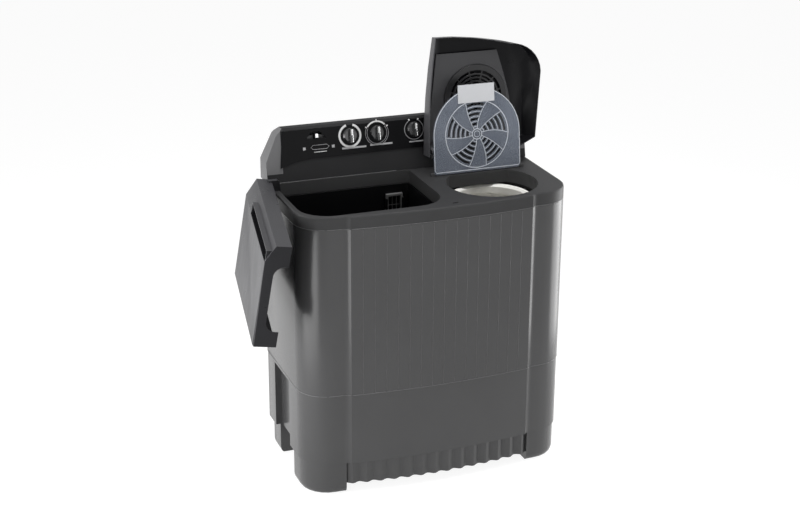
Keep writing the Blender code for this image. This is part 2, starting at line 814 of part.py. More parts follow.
def build_flutes(side):
    """The corrugated skirt that hangs between the front feet."""
    outer = []
    steps = FLUTE_COUNT * FLUTE_POINTS
    reach = side + OVERRUN
    for k in range(steps + 1):
        x = reach * (2 * k / steps - 1)
        wave = FLUTE_DEPTH / 2 * math.cos(2 * math.pi * k / FLUTE_POINTS)
        outer.append((x, bowed(x) + FLUTE_SETBACK + wave))
    inner_steps = FLUTE_COUNT // 2
    inner = []
    for k in range(inner_steps + 1):
        x = reach * (1 - 2 * k / inner_steps)
        inner.append((x, bowed(x) + FLUTE_SETBACK + FLUTE_DEPTH / 2 + WALL))
    return slab("flutes", outer + inner, FLUTE_LOW_Z, SKIRT_Z + WALL / 2)


def bowed(x):
    """The front of the skirt, which bows like the cabinet but without its facets."""
    share = min(1, abs(x) / (HALF_WIDTH - FOOT_LENGTH_X))
    return FRONT_Y + BASE_INSET - (FACET_STEP + FRONT_BULGE) * (1 - share * share)


def build_cabinet():
    """Upper cabinet: one thin wall all round, with the service opening at the back."""
    plan = cabinet_plan()
    top = TRIM_Z - GAP
    cabinet = loft("cabinet", [at_height(plan, SEAM_Z), at_height(plan, top)], "grey_shell")
    thicken(cabinet, WALL)
    opening = box("service_opening", (COVER_LEFT + COVER_LAP, REAR_Y - 2 * WALL, COVER_LOW_Z + COVER_LAP),
                  (COVER_RIGHT - COVER_LAP, REAR_Y + OVERRUN, COVER_HIGH_Z - COVER_LAP))
    cut(cabinet, opening)
    cover_y = REAR_Y + GAP
    box("service_cover", (COVER_LEFT, cover_y, COVER_LOW_Z),
        (COVER_RIGHT, cover_y + COVER_THICK, COVER_HIGH_Z), "grey_shell")


def tub_plan(inset, front_radius=None, rear_radius=None):
    """Plan of the wash tub's mouth, drawn in by an inset."""
    front = TUB_FRONT_RADIUS - inset if front_radius is None else front_radius
    rear = TUB_REAR_RADIUS if rear_radius is None else rear_radius
    return rounded_plan(TUB_LEFT + inset, TUB_RIGHT - inset, TUB_FRONT + inset, TUB_REAR - inset,
                        (front, front, rear, rear))


def spin_mouth_plan(radius, rear_y):
    """The D-shaped mouth of the spin side: a circle with a straight rear edge."""
    start = math.degrees(math.asin((rear_y - SPIN_Y) / radius))
    return arc(SPIN_X, SPIN_Y, radius, 180 - start, 360 + start, 30)


def build_deck():
    """Top deck: a hollow lid of the cabinet with a wall round each mouth."""
    plan = cabinet_plan()
    deck = slab("top_deck", plan, TRIM_Z, DECK_Z, finish="grey_deck")
    round_top_edge(deck, DECK_Z, DECK_EDGE_RADIUS)
    under = slab("deck_room", cabinet_plan(WALL), TRIM_Z - OVERRUN, DECK_Z - WALL)
    cut(under, slab("tub_neck", tub_plan(-WALL), TRIM_Z - 2 * OVERRUN, DECK_Z))
    neck = spin_mouth_plan(SPIN_MOUTH_RADIUS + WALL, SPIN_MOUTH_REAR_Y + WALL)
    cut(under, slab("spin_neck", neck, TRIM_Z - 2 * OVERRUN, DECK_Z))
    cut(deck, under)
    cut(deck, slab("tub_mouth", tub_plan(0), TRIM_Z - OVERRUN, DECK_Z + OVERRUN))
    mouth = spin_mouth_plan(SPIN_MOUTH_RADIUS, SPIN_MOUTH_REAR_Y)
    cut(deck, slab("spin_mouth", mouth, TRIM_Z - OVERRUN, DECK_Z + OVERRUN))
    latch = box("latch_slot", (LATCH_X - LATCH_LENGTH / 2, LATCH_Y - LATCH_WIDTH / 2, DECK_Z - 2 * WALL),
                (LATCH_X + LATCH_LENGTH / 2, LATCH_Y + LATCH_WIDTH / 2, DECK_Z + OVERRUN))
    cut(deck, latch)
    add_safety_knuckles(deck)


def add_safety_knuckles(deck):
    """Two knuckles on the deck that carry the safety lid's pins."""
    axis_z = DECK_Z + SAFETY_HINGE_RISE
    for side, name in ((-1, "left"), (1, "right")):
        outer = SPIN_X + side * (SAFETY_HALF + GAP + KNUCKLE_LENGTH)
        inner = SPIN_X + side * (SAFETY_HALF + GAP)
        low, high = min(outer, inner), max(outer, inner)
        outline = [(SAFETY_HINGE_Y - KNUCKLE_RADIUS, DECK_Z - WALL / 2),
                   (SAFETY_HINGE_Y + KNUCKLE_RADIUS, DECK_Z - WALL / 2)]
        outline += arc(SAFETY_HINGE_Y, axis_z, KNUCKLE_RADIUS, 0, 180)
        bore = cylinder("knuckle_bore_" + name, KNUCKLE_PIN + KNUCKLE_BORE_CLEAR, low - OVERRUN,
                        high + OVERRUN, (SAFETY_HINGE_Y, axis_z), "X")
        join(deck, slab("knuckle_" + name, outline, low, high, "X"))
        cut(deck, bore)


def build_wash_tub():
    """Tapered tub with a flat floor, a shaft hole and a sump."""
    rings = [
        at_height(tub_plan(TUB_FLOOR_INSET, TUB_FLOOR_RADIUS, TUB_FLOOR_RADIUS), TUB_FLOOR_Z),
        at_height(tub_plan(TUB_HEEL_INSET, TUB_FLOOR_RADIUS, TUB_FLOOR_RADIUS), TUB_HEEL_Z),
        at_height(tub_plan(TUB_KNEE_INSET), TUB_KNEE_Z),
        at_height(tub_plan(TUB_TOP_INSET), TRIM_Z - GAP),
    ]
    tub = loft("wash_tub", rings, "tub_plastic", cap_low=True)
    thicken(tub, TUB_WALL, outward=True)
    low = TUB_FLOOR_Z - TUB_WALL - OVERRUN
    high = TUB_FLOOR_Z + OVERRUN
    shaft = cylinder("tub_shaft_hole", DRIVE_SHAFT_RADIUS + RUNNING_GAP, low, high,
                     (PULSATOR_X, PULSATOR_Y), segments=MEDIUM)
    sump = cylinder("tub_sump_hole", SUMP_RADIUS - HOSE_WALL, low, high, (SUMP_X, SUMP_Y))
    cut(tub, shaft, sump)


def build_pulsator():
    """Pulsator disc with its fins, and the shaft that carries it."""
    low = TUB_FLOOR_Z + PULSATOR_RISE
    edge = low + PULSATOR_EDGE
    hub_top = low + PULSATOR_HUB_HEIGHT
    bore_top = hub_top - PULSATOR_EDGE
    bore = DRIVE_SHAFT_RADIUS + GAP
    profile = [
        (0, hub_top), (PULSATOR_HUB_RADIUS * 0.8, hub_top), (PULSATOR_HUB_RADIUS, hub_top - PULSATOR_EDGE),
        (PULSATOR_HUB_RADIUS + PULSATOR_DOME, edge + PULSATOR_EDGE), (PULSATOR_RADIUS, edge),
        (PULSATOR_RADIUS, low), (bore, low), (bore, bore_top), (0, bore_top),
    ]
    disc = turned("pulsator", profile, (PULSATOR_X, PULSATOR_Y), FINE, finish="pale_plastic")
    inner = PULSATOR_RADIUS - PULSATOR_EDGE - FIN_LENGTH
    for k in range(FIN_COUNT):
        fin = box("fin_" + str(k + 1), (inner, -FIN_WIDTH / 2, edge - PULSATOR_EDGE / 2),
                  (inner + FIN_LENGTH, FIN_WIDTH / 2, edge + FIN_HEIGHT))
        fin.location = (PULSATOR_X, PULSATOR_Y, 0)
        fin.rotation_euler = (0, 0, 2 * math.pi * k / FIN_COUNT)
        join(disc, fin)
    bottom = TUB_FLOOR_Z - TUB_WALL - BRACKET_DROP - BRACKET_THICK
    turned("drive_shaft", [(0, bore_top - GAP), (DRIVE_SHAFT_RADIUS, bore_top - GAP),
                           (DRIVE_SHAFT_RADIUS, bottom), (0, bottom)],
           (PULSATOR_X, PULSATOR_Y), MEDIUM, finish="steel")


def build_wash_drive():
    """Gear case, motor, their bracket under the tub floor, the pulleys and the belt."""
    ceiling = TUB_FLOOR_Z - TUB_WALL - GAP
    plate_top = TUB_FLOOR_Z - TUB_WALL - BRACKET_DROP
    plate_low = plate_top - BRACKET_THICK
    case_top = plate_low - GAP
    bore = DRIVE_SHAFT_RADIUS + RUNNING_GAP
    stub_bore = STUB_RADIUS + RUNNING_GAP
    case = [
        (bore, ceiling), (CASE_BOSS_RADIUS, ceiling), (CASE_BOSS_RADIUS, case_top),
        (CASE_RADIUS, case_top), (CASE_RADIUS, CASE_LOW_Z + CASE_BOSS_RADIUS),
        (CASE_RADIUS - CASE_BOSS_RADIUS, CASE_LOW_Z), (stub_bore, CASE_LOW_Z),
        (stub_bore, CASE_LOW_Z + CASE_BOSS_RADIUS), (0, CASE_LOW_Z + CASE_BOSS_RADIUS),
    ]
    floor = plate_low - CASE_BOSS_RADIUS
    turned("gear_case", [(0, floor), (bore, floor)] + case, (PULSATOR_X, PULSATOR_Y), MEDIUM,
           finish="cast_metal")
    margin = BRACKET_MARGIN
    left = MOTOR_X - MOTOR_RADIUS + margin
    right = PULSATOR_X + CASE_RADIUS + margin
    front = PULSATOR_Y - CASE_RADIUS - margin
    rear = MOTOR_Y + MOTOR_RADIUS - margin
    bracket = box("drive_bracket", (left, front, plate_low), (right, rear, plate_top), "steel")
    for index, (x, y) in enumerate(((left + margin, front + margin), (right - margin, front + margin),
                                    (right - margin, rear - margin), (left + margin + STANDOFF_RADIUS,
                                                                      rear - 2 * margin))):
        post = cylinder("standoff_" + str(index + 1), STANDOFF_RADIUS, plate_top - BRACKET_THICK / 2,
                        ceiling, (x, y))
        join(bracket, post)
    cut(bracket, cylinder("case_boss_hole", CASE_BOSS_RADIUS + GAP, plate_low - OVERRUN,
                          plate_top + OVERRUN, (PULSATOR_X, PULSATOR_Y), segments=MEDIUM))
    motor_top = plate_low - GAP
    turned("wash_motor", [
        (0, motor_top), (MOTOR_RADIUS, motor_top), (MOTOR_RADIUS, MOTOR_LOW_Z + MOTOR_RADIUS / 4),
        (MOTOR_RADIUS * 0.7, MOTOR_LOW_Z), (stub_bore, MOTOR_LOW_Z),
        (stub_bore, MOTOR_LOW_Z + CASE_BOSS_RADIUS), (0, MOTOR_LOW_Z + CASE_BOSS_RADIUS),
    ], (MOTOR_X, MOTOR_Y), MEDIUM, finish="cast_metal")
    build_pulley("gear_pulley", PULLEY_RADIUS, (PULSATOR_X, PULSATOR_Y),
                 CASE_LOW_Z + CASE_BOSS_RADIUS - RUNNING_GAP, 48, "pale_plastic")
    build_pulley("motor_pulley", MOTOR_PULLEY_RADIUS, (MOTOR_X, MOTOR_Y),
                 MOTOR_LOW_Z + CASE_BOSS_RADIUS - RUNNING_GAP, MEDIUM, "steel")
    build_belt()


def groove_radius(radius):
    """Where the belt's own middle runs on a pulley of this outer radius."""
    return radius - GROOVE_DEPTH + BELT_CLEAR + BELT_RADIUS


def build_pulley(name, radius, centre, stub_top, segments, finish):
    """A grooved pulley with its stub shaft on top."""
    low, high = PULLEY_Z, PULLEY_Z + PULLEY_THICK
    middle = (low + high) / 2
    floor = radius - GROOVE_DEPTH
    lip = PULLEY_THICK / 2 - PULLEY_WEB / 3
    turned(name, [
        (0, stub_top), (STUB_RADIUS, stub_top), (STUB_RADIUS, high), (radius, high),
        (radius, middle + lip), (floor, middle + BELT_RADIUS), (floor, middle - BELT_RADIUS),
        (radius, middle - lip), (radius, low), (0, low),
    ], centre, segments, finish=finish)


def build_belt():
    """The drive belt: two arcs round the pulleys and the straight runs between them."""
    big = groove_radius(PULLEY_RADIUS)
    small = groove_radius(MOTOR_PULLEY_RADIUS)
    across = Vector((MOTOR_X - PULSATOR_X, MOTOR_Y - PULSATOR_Y))
    heading = math.degrees(math.atan2(across.y, across.x))
    spread = math.degrees(math.acos((big - small) / across.length))
    middle = PULLEY_Z + PULLEY_THICK / 2
    loop = arc(PULSATOR_X, PULSATOR_Y, big, heading + spread, heading + 360 - spread, 22)
    loop += arc(MOTOR_X, MOTOR_Y, small, heading - spread, heading + spread, 8)
    tube("drive_belt", at_height(loop, middle), BELT_RADIUS, "rubber", 1, closed=True)


def build_spin_tub():
    """Outer tub of the spin side: a round cup with a hole for the seal and one for the drain."""
    top = TRIM_Z - GAP
    floor = SPIN_TUB_FLOOR_Z
    inner = SPIN_TUB_RADIUS - TUB_WALL
    tub = turned("spin_tub", [
        (inner, top), (SPIN_TUB_RADIUS, top), (SPIN_TUB_RADIUS, floor), (SPIN_TUB_HOLE, floor),
        (SPIN_TUB_HOLE, floor + WALL), (inner, floor + WALL),
    ], (SPIN_X, SPIN_Y), FINE, closed=True, finish="tub_plastic")
    place = spin_drain_place()
    cut(tub, cylinder("spin_drain_hole", HOSE_RADIUS - HOSE_WALL, floor - OVERRUN,
                      floor + WALL + OVERRUN, place))


def spin_drain_place():
    angle = math.radians(SPIN_DRAIN_ANGLE)
    reach = SPIN_TUB_RADIUS * SPIN_DRAIN_SHARE
    return (SPIN_X + reach * math.cos(angle), SPIN_Y + reach * math.sin(angle))


def build_basket():
    """Spin basket, its balance ring, the shaft with its nut, and the brake drum."""
    centre = (SPIN_X, SPIN_Y)
    ring_low = RING_TOP_Z - RING_HEIGHT
    floor = BASKET_FLOOR_Z
    outer, inner = BASKET_RADIUS, BASKET_RADIUS - BASKET_WALL
    bore = SPIN_SHAFT_RADIUS + GAP
    hub_low = floor - BASKET_HUB_DROP
    cone_top = floor + BASKET_CONE
    turned("spin_basket", [
        (inner, ring_low - GAP), (outer, ring_low - GAP), (outer, floor + BASKET_HEEL),
        (outer - BASKET_HEEL, floor), (BASKET_HUB_RADIUS, floor), (BASKET_HUB_RADIUS, hub_low),
        (bore, hub_low), (bore, cone_top), (BASKET_HUB_RADIUS, cone_top),
        (BASKET_HUB_RADIUS + BASKET_CONE, floor + BASKET_WALL),
        (inner - BASKET_HEEL, floor + BASKET_WALL), (inner, floor + BASKET_HEEL + BASKET_WALL),
    ], centre, FINE, closed=True, finish="ivory")
    lip = RING_HEIGHT / 5
    turned("balance_ring", [
        (RING_INNER_RADIUS + lip, RING_TOP_Z), (RING_OUTER_RADIUS - lip, RING_TOP_Z),
        (RING_OUTER_RADIUS, RING_TOP_Z - lip), (RING_OUTER_RADIUS, ring_low),
        (RING_INNER_RADIUS + lip, ring_low), (RING_INNER_RADIUS, ring_low + lip),
        (RING_INNER_RADIUS, RING_TOP_Z - lip),
    ], centre, FINE, closed=True, finish="ivory")
    nut_low = cone_top + GAP
    shaft_low = spin_motor_top() - SPIN_MOTOR_BORE + RUNNING_GAP
    turned("spin_shaft", [
        (0, nut_low + SPIN_NUT_HEIGHT), (SPIN_NUT_RADIUS, nut_low + SPIN_NUT_HEIGHT),
        (SPIN_NUT_RADIUS, nut_low), (SPIN_SHAFT_RADIUS, nut_low), (SPIN_SHAFT_RADIUS, shaft_low),
        (0, shaft_low),
    ], centre, MEDIUM, finish="steel")
    turned("brake_drum", [
        (bore, DRUM_HIGH_Z), (DRUM_RADIUS, DRUM_HIGH_Z), (DRUM_RADIUS, DRUM_LOW_Z), (bore, DRUM_LOW_Z),
    ], centre, MEDIUM, closed=True, finish="cast_metal")


def spin_motor_top():
    plate_top = SKIRT_Z + WALL + 2 * GAP + DAMPER_HEIGHT + MOTOR_PLATE_THICK
    return plate_top + GAP + SPIN_MOTOR_HEIGHT + SPIN_MOTOR_BOSS


def build_spin_seal():
    """Rubber bellows that closes the spin tub round the shaft."""
    bore = SPIN_SHAFT_RADIUS + RUNNING_GAP
    flange_top = SPIN_TUB_FLOOR_Z - GAP
    outer = [(SEAL_LIP_RADIUS, SPIN_TUB_FLOOR_Z + WALL), (SEAL_LIP_RADIUS, flange_top),
             (SEAL_FLANGE_RADIUS, flange_top), (SEAL_FLANGE_RADIUS, flange_top - WALL)]
    fold = (flange_top - WALL - SEAL_LOW_Z) / SEAL_FOLDS
    for k in range(SEAL_FOLDS):
        top = flange_top - WALL - k * fold
        outer.append((SEAL_NECK_RADIUS, top - fold / 4))
        outer.append((SEAL_FOLD_RADIUS, top - fold / 2))
        outer.append((SEAL_NECK_RADIUS, top - fold))
    profile = [(bore, SPIN_TUB_FLOOR_Z + WALL)] + outer + [(bore, SEAL_LOW_Z)]
    turned("shaft_seal", profile, (SPIN_X, SPIN_Y), SMALL, closed=True, finish="rubber")


def build_spin_motor():
    """Spin motor on its plate, and the three dampers that carry it on the base."""
    centre = (SPIN_X, SPIN_Y)
    damper_low = SKIRT_Z + WALL + GAP
    plate_low = damper_low + DAMPER_HEIGHT + GAP
    plate_top = plate_low + MOTOR_PLATE_THICK
    motor_low = plate_top + GAP
    motor_top = motor_low + SPIN_MOTOR_HEIGHT
    boss_top = motor_top + SPIN_MOTOR_BOSS
    bore = SPIN_SHAFT_RADIUS + RUNNING_GAP
    bore_low = boss_top - SPIN_MOTOR_BORE
    shoulder = SPIN_MOTOR_RADIUS / 5
    turned("spin_motor", [
        (0, bore_low), (bore, bore_low), (bore, boss_top), (SPIN_MOTOR_BOSS_RADIUS, boss_top),
        (SPIN_MOTOR_BOSS_RADIUS, motor_top), (SPIN_MOTOR_RADIUS - shoulder, motor_top),
        (SPIN_MOTOR_RADIUS, motor_top - shoulder), (SPIN_MOTOR_RADIUS, motor_low + shoulder),
        (SPIN_MOTOR_RADIUS - shoulder, motor_low), (0, motor_low),
    ], centre, MEDIUM, finish="cast_metal")
    post = cylinder("brake_post", BRAKE_POST_RADIUS, motor_top - shoulder, DRUM_HIGH_Z, build_brake())
    join(bpy.data.objects["spin_motor"], post)
    turned("motor_plate", [(0, plate_top), (MOTOR_PLATE_RADIUS, plate_top),
                           (MOTOR_PLATE_RADIUS, plate_low), (0, plate_low)],
           centre, MEDIUM, finish="steel")
    step = DAMPER_HEIGHT / DAMPER_FOLDS
    profile = [(0, DAMPER_HEIGHT), (DAMPER_RADIUS, DAMPER_HEIGHT)]
    for k in range(DAMPER_FOLDS):
        profile.append((DAMPER_RADIUS - DAMPER_WAIST, DAMPER_HEIGHT - (k + 0.5) * step))
        profile.append((DAMPER_RADIUS, DAMPER_HEIGHT - (k + 1) * step))
    profile.append((0, 0))
    for k in range(3):
        angle = math.radians(90 + 120 * k)
        place = (SPIN_X + DAMPER_CIRCLE * math.cos(angle), SPIN_Y + DAMPER_CIRCLE * math.sin(angle))
        turned("motor_damper_" + str(k + 1), profile, place, SMALL, finish="rubber", along_at=damper_low)


def build_brake():
    """Brake lever whose curved shoe rests beside the drum, on a post of the spin motor."""
    angle = math.radians(BRAKE_POST_ANGLE)
    pivot = Vector((SPIN_X + BRAKE_PIVOT_REACH * math.cos(angle), SPIN_Y + BRAKE_PIVOT_REACH * math.sin(angle)))
    low = (DRUM_LOW_Z + DRUM_HIGH_Z) / 2 - BRAKE_THICK / 2
    high = low + BRAKE_THICK
    near = DRUM_RADIUS + RUNNING_GAP
    far = near + BRAKE_SHOE_THICK
    shoe_start = BRAKE_POST_ANGLE + BRAKE_SHOE_START
    shoe_end = BRAKE_POST_ANGLE + BRAKE_SHOE_END
    outline = arc(SPIN_X, SPIN_Y, near, shoe_start, shoe_end)
    outline += arc(SPIN_X, SPIN_Y, far, shoe_end, BRAKE_POST_ANGLE + BRAKE_SHOE_START / 2)
    outline += arc(pivot.x, pivot.y, BRAKE_EYE_RADIUS, BRAKE_POST_ANGLE + 90, BRAKE_POST_ANGLE - 150)
    lever = slab("brake_lever", [(x - pivot.x, y - pivot.y) for x, y in outline], low, high,
                 finish="steel")
    lever.location = (pivot.x, pivot.y, 0)
    cut(lever, cylinder("brake_eye", BRAKE_POST_RADIUS + RUNNING_GAP, low - OVERRUN, high + OVERRUN, pivot))
    return pivot


def build_drain():
    """Drain valve with its plug, the two hoses into it and the outlet through the back."""
    low_z = SKIRT_Z + WALL + GAP
    left, right = VALVE_X - VALVE_HALF, VALVE_X + VALVE_HALF
    front, rear = VALVE_Y - VALVE_HALF, VALVE_Y + VALVE_HALF
    body = box("drain_valve", (left, front, low_z), (right, rear, VALVE_TOP_Z), "pale_plastic")
    seat_low = VALVE_SEAT_Z - VALVE_SEAT_THICK
    room = VALVE_HALF - VALVE_WALL
    cut(body, box("valve_upper_room", (VALVE_X - room, VALVE_Y - room, VALVE_SEAT_Z),
                  (VALVE_X + room, VALVE_Y + room, VALVE_TOP_Z + OVERRUN)))
    cut(body, box("valve_lower_room", (VALVE_X - room, VALVE_Y - room, low_z + VALVE_WALL),
                  (VALVE_X + room, VALVE_Y + room, seat_low)))
    cut(body, cylinder("valve_seat_hole", VALVE_SEAT_RADIUS, seat_low - OVERRUN,
                       VALVE_SEAT_Z + OVERRUN, (VALVE_X, VALVE_Y)))
    port = HOSE_RADIUS - HOSE_WALL
    cut(body, cylinder("wash_port", port, left - OVERRUN, left + VALVE_WALL + OVERRUN,
                       (VALVE_Y, WASH_PORT_Z), "X"))
    cut(body, cylinder("spin_port", port, right - VALVE_WALL - OVERRUN, right + OVERRUN,
                       (VALVE_Y, SPIN_PORT_Z), "X"))
    cut(body, cylinder("outlet_port", OUTLET_RADIUS - OUTLET_WALL, rear - VALVE_WALL - OVERRUN,
                       rear + OVERRUN, (VALVE_X, OUTLET_Z), "Y"))
    cap_low = VALVE_TOP_Z + GAP
    cap_top = cap_low + VALVE_CAP_THICK
    cap = box("valve_cap", (left, front, cap_low), (right, rear, cap_top), "pale_plastic")
    cut(cap, cylinder("cap_hole", PLUG_ROD_RADIUS + RUNNING_GAP, cap_low - OVERRUN, cap_top + OVERRUN,
                      (VALVE_X, VALVE_Y)))
    seat = VALVE_SEAT_Z + GAP
    turned("drain_plug", [
        (0, cap_top + PLUG_ROD_ABOVE), (PLUG_ROD_RADIUS, cap_top + PLUG_ROD_ABOVE),
        (PLUG_ROD_RADIUS, seat + PLUG_HEIGHT), (PLUG_RADIUS * 0.6, seat + PLUG_HEIGHT),
        (PLUG_RADIUS, seat + PLUG_HEIGHT / 3), (PLUG_RADIUS, seat), (0, seat),
    ], (VALVE_X, VALVE_Y), SMALL, finish="blue_plastic")
    build_hoses(left, right)
    inside = rear + GAP
    outside = REAR_Y - BASE_INSET
    reach = REAR_Y + OUTLET_REACH - inside
    flange_low = outside + GAP - inside
    bore = OUTLET_RADIUS - OUTLET_WALL
    turned("drain_outlet", [
        (bore, reach), (OUTLET_RADIUS, reach), (OUTLET_RADIUS, flange_low + FLANGE_THICK),
        (OUTLET_FLANGE_RADIUS, flange_low + FLANGE_THICK), (OUTLET_FLANGE_RADIUS, flange_low),
        (OUTLET_RADIUS, flange_low), (OUTLET_RADIUS, 0), (bore, 0),
    ], (VALVE_X, OUTLET_Z), MEDIUM, closed=True, finish="dark_trim", axis="Y", along_at=inside)


def bend(first, corner, second, radius, steps=6):
    """Points of a smooth bend that leaves the first point, rounds the corner and meets the second."""
    first, corner, second = Vector(first), Vector(corner), Vector(second)
    start = corner + (first - corner).normalized() * radius
    end = corner + (second - corner).normalized() * radius
    points = [first]
    for k in range(steps + 1):
        t = k / steps
        points.append((1 - t) ** 2 * start + 2 * t * (1 - t) * corner + t ** 2 * end)
    return points + [second]


def build_hoses(left, right):
    """Hoses from the wash tub's sump and from the spin tub down to the valve."""
    top = TUB_FLOOR_Z - TUB_WALL - GAP
    end = (left - GAP, VALVE_Y, WASH_PORT_Z)
    knee = (SUMP_X, SUMP_Y, WASH_PORT_Z)
    route = bend((SUMP_X, SUMP_Y, top), knee, (left - 3 * HOSE_RADIUS, VALVE_Y, WASH_PORT_Z),
                 2.6 * HOSE_RADIUS)
    tube("wash_drain_hose", route + [end], HOSE_RADIUS, "rubber", 1, wall=HOSE_WALL)
    x, y = spin_drain_place()
    top = SPIN_TUB_FLOOR_Z - GAP
    end = (right + GAP, VALVE_Y, SPIN_PORT_Z)
    knee = (x, y, SPIN_PORT_Z)
    route = bend((x, y, top), knee, (x, VALVE_Y - 2 * HOSE_RADIUS, SPIN_PORT_Z), 2 * HOSE_RADIUS)
    turn = bend(route[-1], (x, VALVE_Y, SPIN_PORT_Z), (right + HOSE_RADIUS, VALVE_Y, SPIN_PORT_Z),
                HOSE_RADIUS)
    tube("spin_drain_hose", route[:-1] + turn[1:-1] + [end], HOSE_RADIUS, "rubber", 1, wall=HOSE_WALL)


def build_small_electrics():
    """Capacitor on the base floor and the cord gland in the back of the base."""
    low = SKIRT_Z + WALL + GAP
    rim = CAPACITOR_RADIUS / 5
    turned("motor_capacitor", [
        (0, low + CAPACITOR_HEIGHT), (CAPACITOR_RADIUS - rim, low + CAPACITOR_HEIGHT),
        (CAPACITOR_RADIUS, low + CAPACITOR_HEIGHT - rim), (CAPACITOR_RADIUS, low), (0, low),
    ], (CAPACITOR_X, CAPACITOR_Y), SMALL, finish="pale_plastic")
    outside = REAR_Y - BASE_INSET
    inside = outside - WALL - GLAND_REACH
    flange_low = outside + GAP - inside
    top = flange_low + FLANGE_THICK
    turned("cord_gland", [
        (GLAND_BORE, top + GLAND_REACH), (GLAND_RADIUS, top + GLAND_REACH), (GLAND_RADIUS, top),
        (GLAND_FLANGE_RADIUS, top), (GLAND_FLANGE_RADIUS, flange_low), (GLAND_RADIUS, flange_low),
        (GLAND_RADIUS, 0), (GLAND_BORE, 0),
    ], (GLAND_X, GLAND_Z), SMALL, closed=True, finish="rubber", axis="Y", along_at=inside)


def face_y(z):
    """Y of the sloping face of the control housing at a height."""
    return FACE_Y + (z - DECK_Z) * math.tan(math.radians(FACE_LEAN))


def housing_section(inset):
    """Section of the housing in YZ: sloping face, flat top and chamfered top rear edge."""
    low = DECK_Z + GAP + inset
    top = HOUSING_TOP_Z - inset
    slope = inset / math.cos(math.radians(FACE_LEAN))
    chamfer = HOUSING_REAR_CHAMFER
    rear = REAR_Y - inset
    return [(face_y(low) + slope, low), (rear, low), (rear, top - chamfer), (rear - chamfer, top),
            (face_y(top) + slope + chamfer / 2, top), (face_y(top - chamfer / 2) + slope, top - chamfer / 2)]


def housing_front(inset):
    """Front view of the housing in XZ, with its slanted and rounded ends."""
    low = DECK_Z + GAP + inset
    side = HALF_WIDTH - HOUSING_END_INSET - inset
    shift = inset * 0.7
    right = [(side, low), (side, HOUSING_SHOULDER_Z), (HOUSING_CHAMFER_X - shift, HOUSING_CHAMFER_Z - shift),
             (HOUSING_TOP_HALF - shift, HOUSING_TOP_Z - inset)]
    return right + [(-x, z) for x, z in reversed(right)]


def on_face(thing, panel):
    """Hangs an object that was drawn in the plane of the face on the panel's empty."""
    thing.parent = panel
    return thing


def face_frame():
    """Empty at the foot of the sloping face: X along it, Z up it and Y into the housing."""
    panel = bpy.data.objects.new("face_frame", None)
    CUTTERS.objects.link(panel)
    panel.location = (0, FACE_Y, DECK_Z)
    panel.rotation_euler = (math.radians(-FACE_LEAN), 0, 0)
    return panel


def build_housing(panel):
    """Control housing: a hollow hood, open at the back where its cover closes it."""
    housing = slab("control_housing", housing_section(0), -HALF_WIDTH, HALF_WIDTH, "X", "grey_deck")
    trim_to(housing, slab("housing_view", housing_front(0), FACE_Y - OVERRUN, REAR_Y + OVERRUN, "Y"))
    room = slab("housing_room", housing_section(WALL), -HALF_WIDTH, HALF_WIDTH, "X")
    room_view = slab("housing_room_view", housing_front(WALL), FACE_Y - OVERRUN, REAR_Y + OVERRUN, "Y")
    trim_to(room, room_view)
    cut(housing, room)
    mouth = slab("housing_mouth", mouth_view(0), REAR_Y - 2 * WALL, REAR_Y + OVERRUN, "Y")
    cut(housing, mouth)
    for name, x in (("wash", WASH_TIMER_X), ("selector", SELECTOR_X), ("spin", SPIN_TIMER_X)):
        hole = cylinder("housing_hole_" + name, KNOB_STEM_RADIUS + RUNNING_GAP, -OVERRUN, 2 * WALL,
                        (x, DIAL_S), "Y")
        cut(housing, on_face(hole, panel))
    cut(housing, on_face(fan_slot("housing_fan", -OVERRUN, 2 * WALL), panel))
    add_lid_ears(housing)
    cover = slab("housing_back", mouth_view(GAP), REAR_Y - BACK_COVER_THICK, REAR_Y, "Y", "grey_deck")
    cut(cover, cylinder("inlet_hole", INLET_RADIUS + GAP, REAR_Y - 2 * BACK_COVER_THICK,
                        REAR_Y + OVERRUN, (LEVER_X, INLET_Z), "Y", MEDIUM))


def mouth_view(inset):
    """The opening in the back of the housing, in XZ."""
    low = DECK_Z + GAP + 2 * WALL + inset
    high = HOUSING_TOP_Z - HOUSING_REAR_CHAMFER - WALL - inset
    side = HALF_WIDTH - HOUSING_END_INSET - 2 * WALL - inset
    top_half = HOUSING_TOP_HALF - inset
    right = [(side, low), (side, HOUSING_SHOULDER_Z - WALL), (top_half, high)]
    return right + [(-x, z) for x, z in reversed(right)]


def fan_slot(name, near, far):
    """The fan-shaped slot that the inlet lever moves in, drawn in the plane of the face."""
    outline = [
        (LEVER_X - FAN_HALF_WIDTH, FAN_LOW_S), (LEVER_X + FAN_HALF_WIDTH, FAN_LOW_S),
        (LEVER_X + FAN_TOP_HALF, FAN_HIGH_S), (LEVER_X - FAN_TOP_HALF, FAN_HIGH_S),
    ]
    return slab(name, outline, near, far, "Y")


def add_lid_ears(housing):
    """Two ears on the face that carry the spin lid's pins."""
    for name, x in (("left", LEFT_EAR_X), ("right", RIGHT_EAR_X)):
        low, high = EAR_ROOT_LOW_Z, EAR_ROOT_HIGH_Z
        outline = [(face_y(low) + WALL / 2, low), (face_y(high) + WALL / 2, high),
                   (SPIN_HINGE_Y + EAR_RADIUS / 2, high)]
        outline += arc(SPIN_HINGE_Y, SPIN_HINGE_Z, EAR_RADIUS, -30, 200, 8)
        hole = cylinder("ear_hole_" + name, PIN_RADIUS + GAP, x - OVERRUN, x + EAR_WIDTH + OVERRUN,
                        (SPIN_HINGE_Y, SPIN_HINGE_Z), "X")
        join(housing, slab("ear_" + name, outline, x, x + EAR_WIDTH, "X"))
        cut(housing, hole)


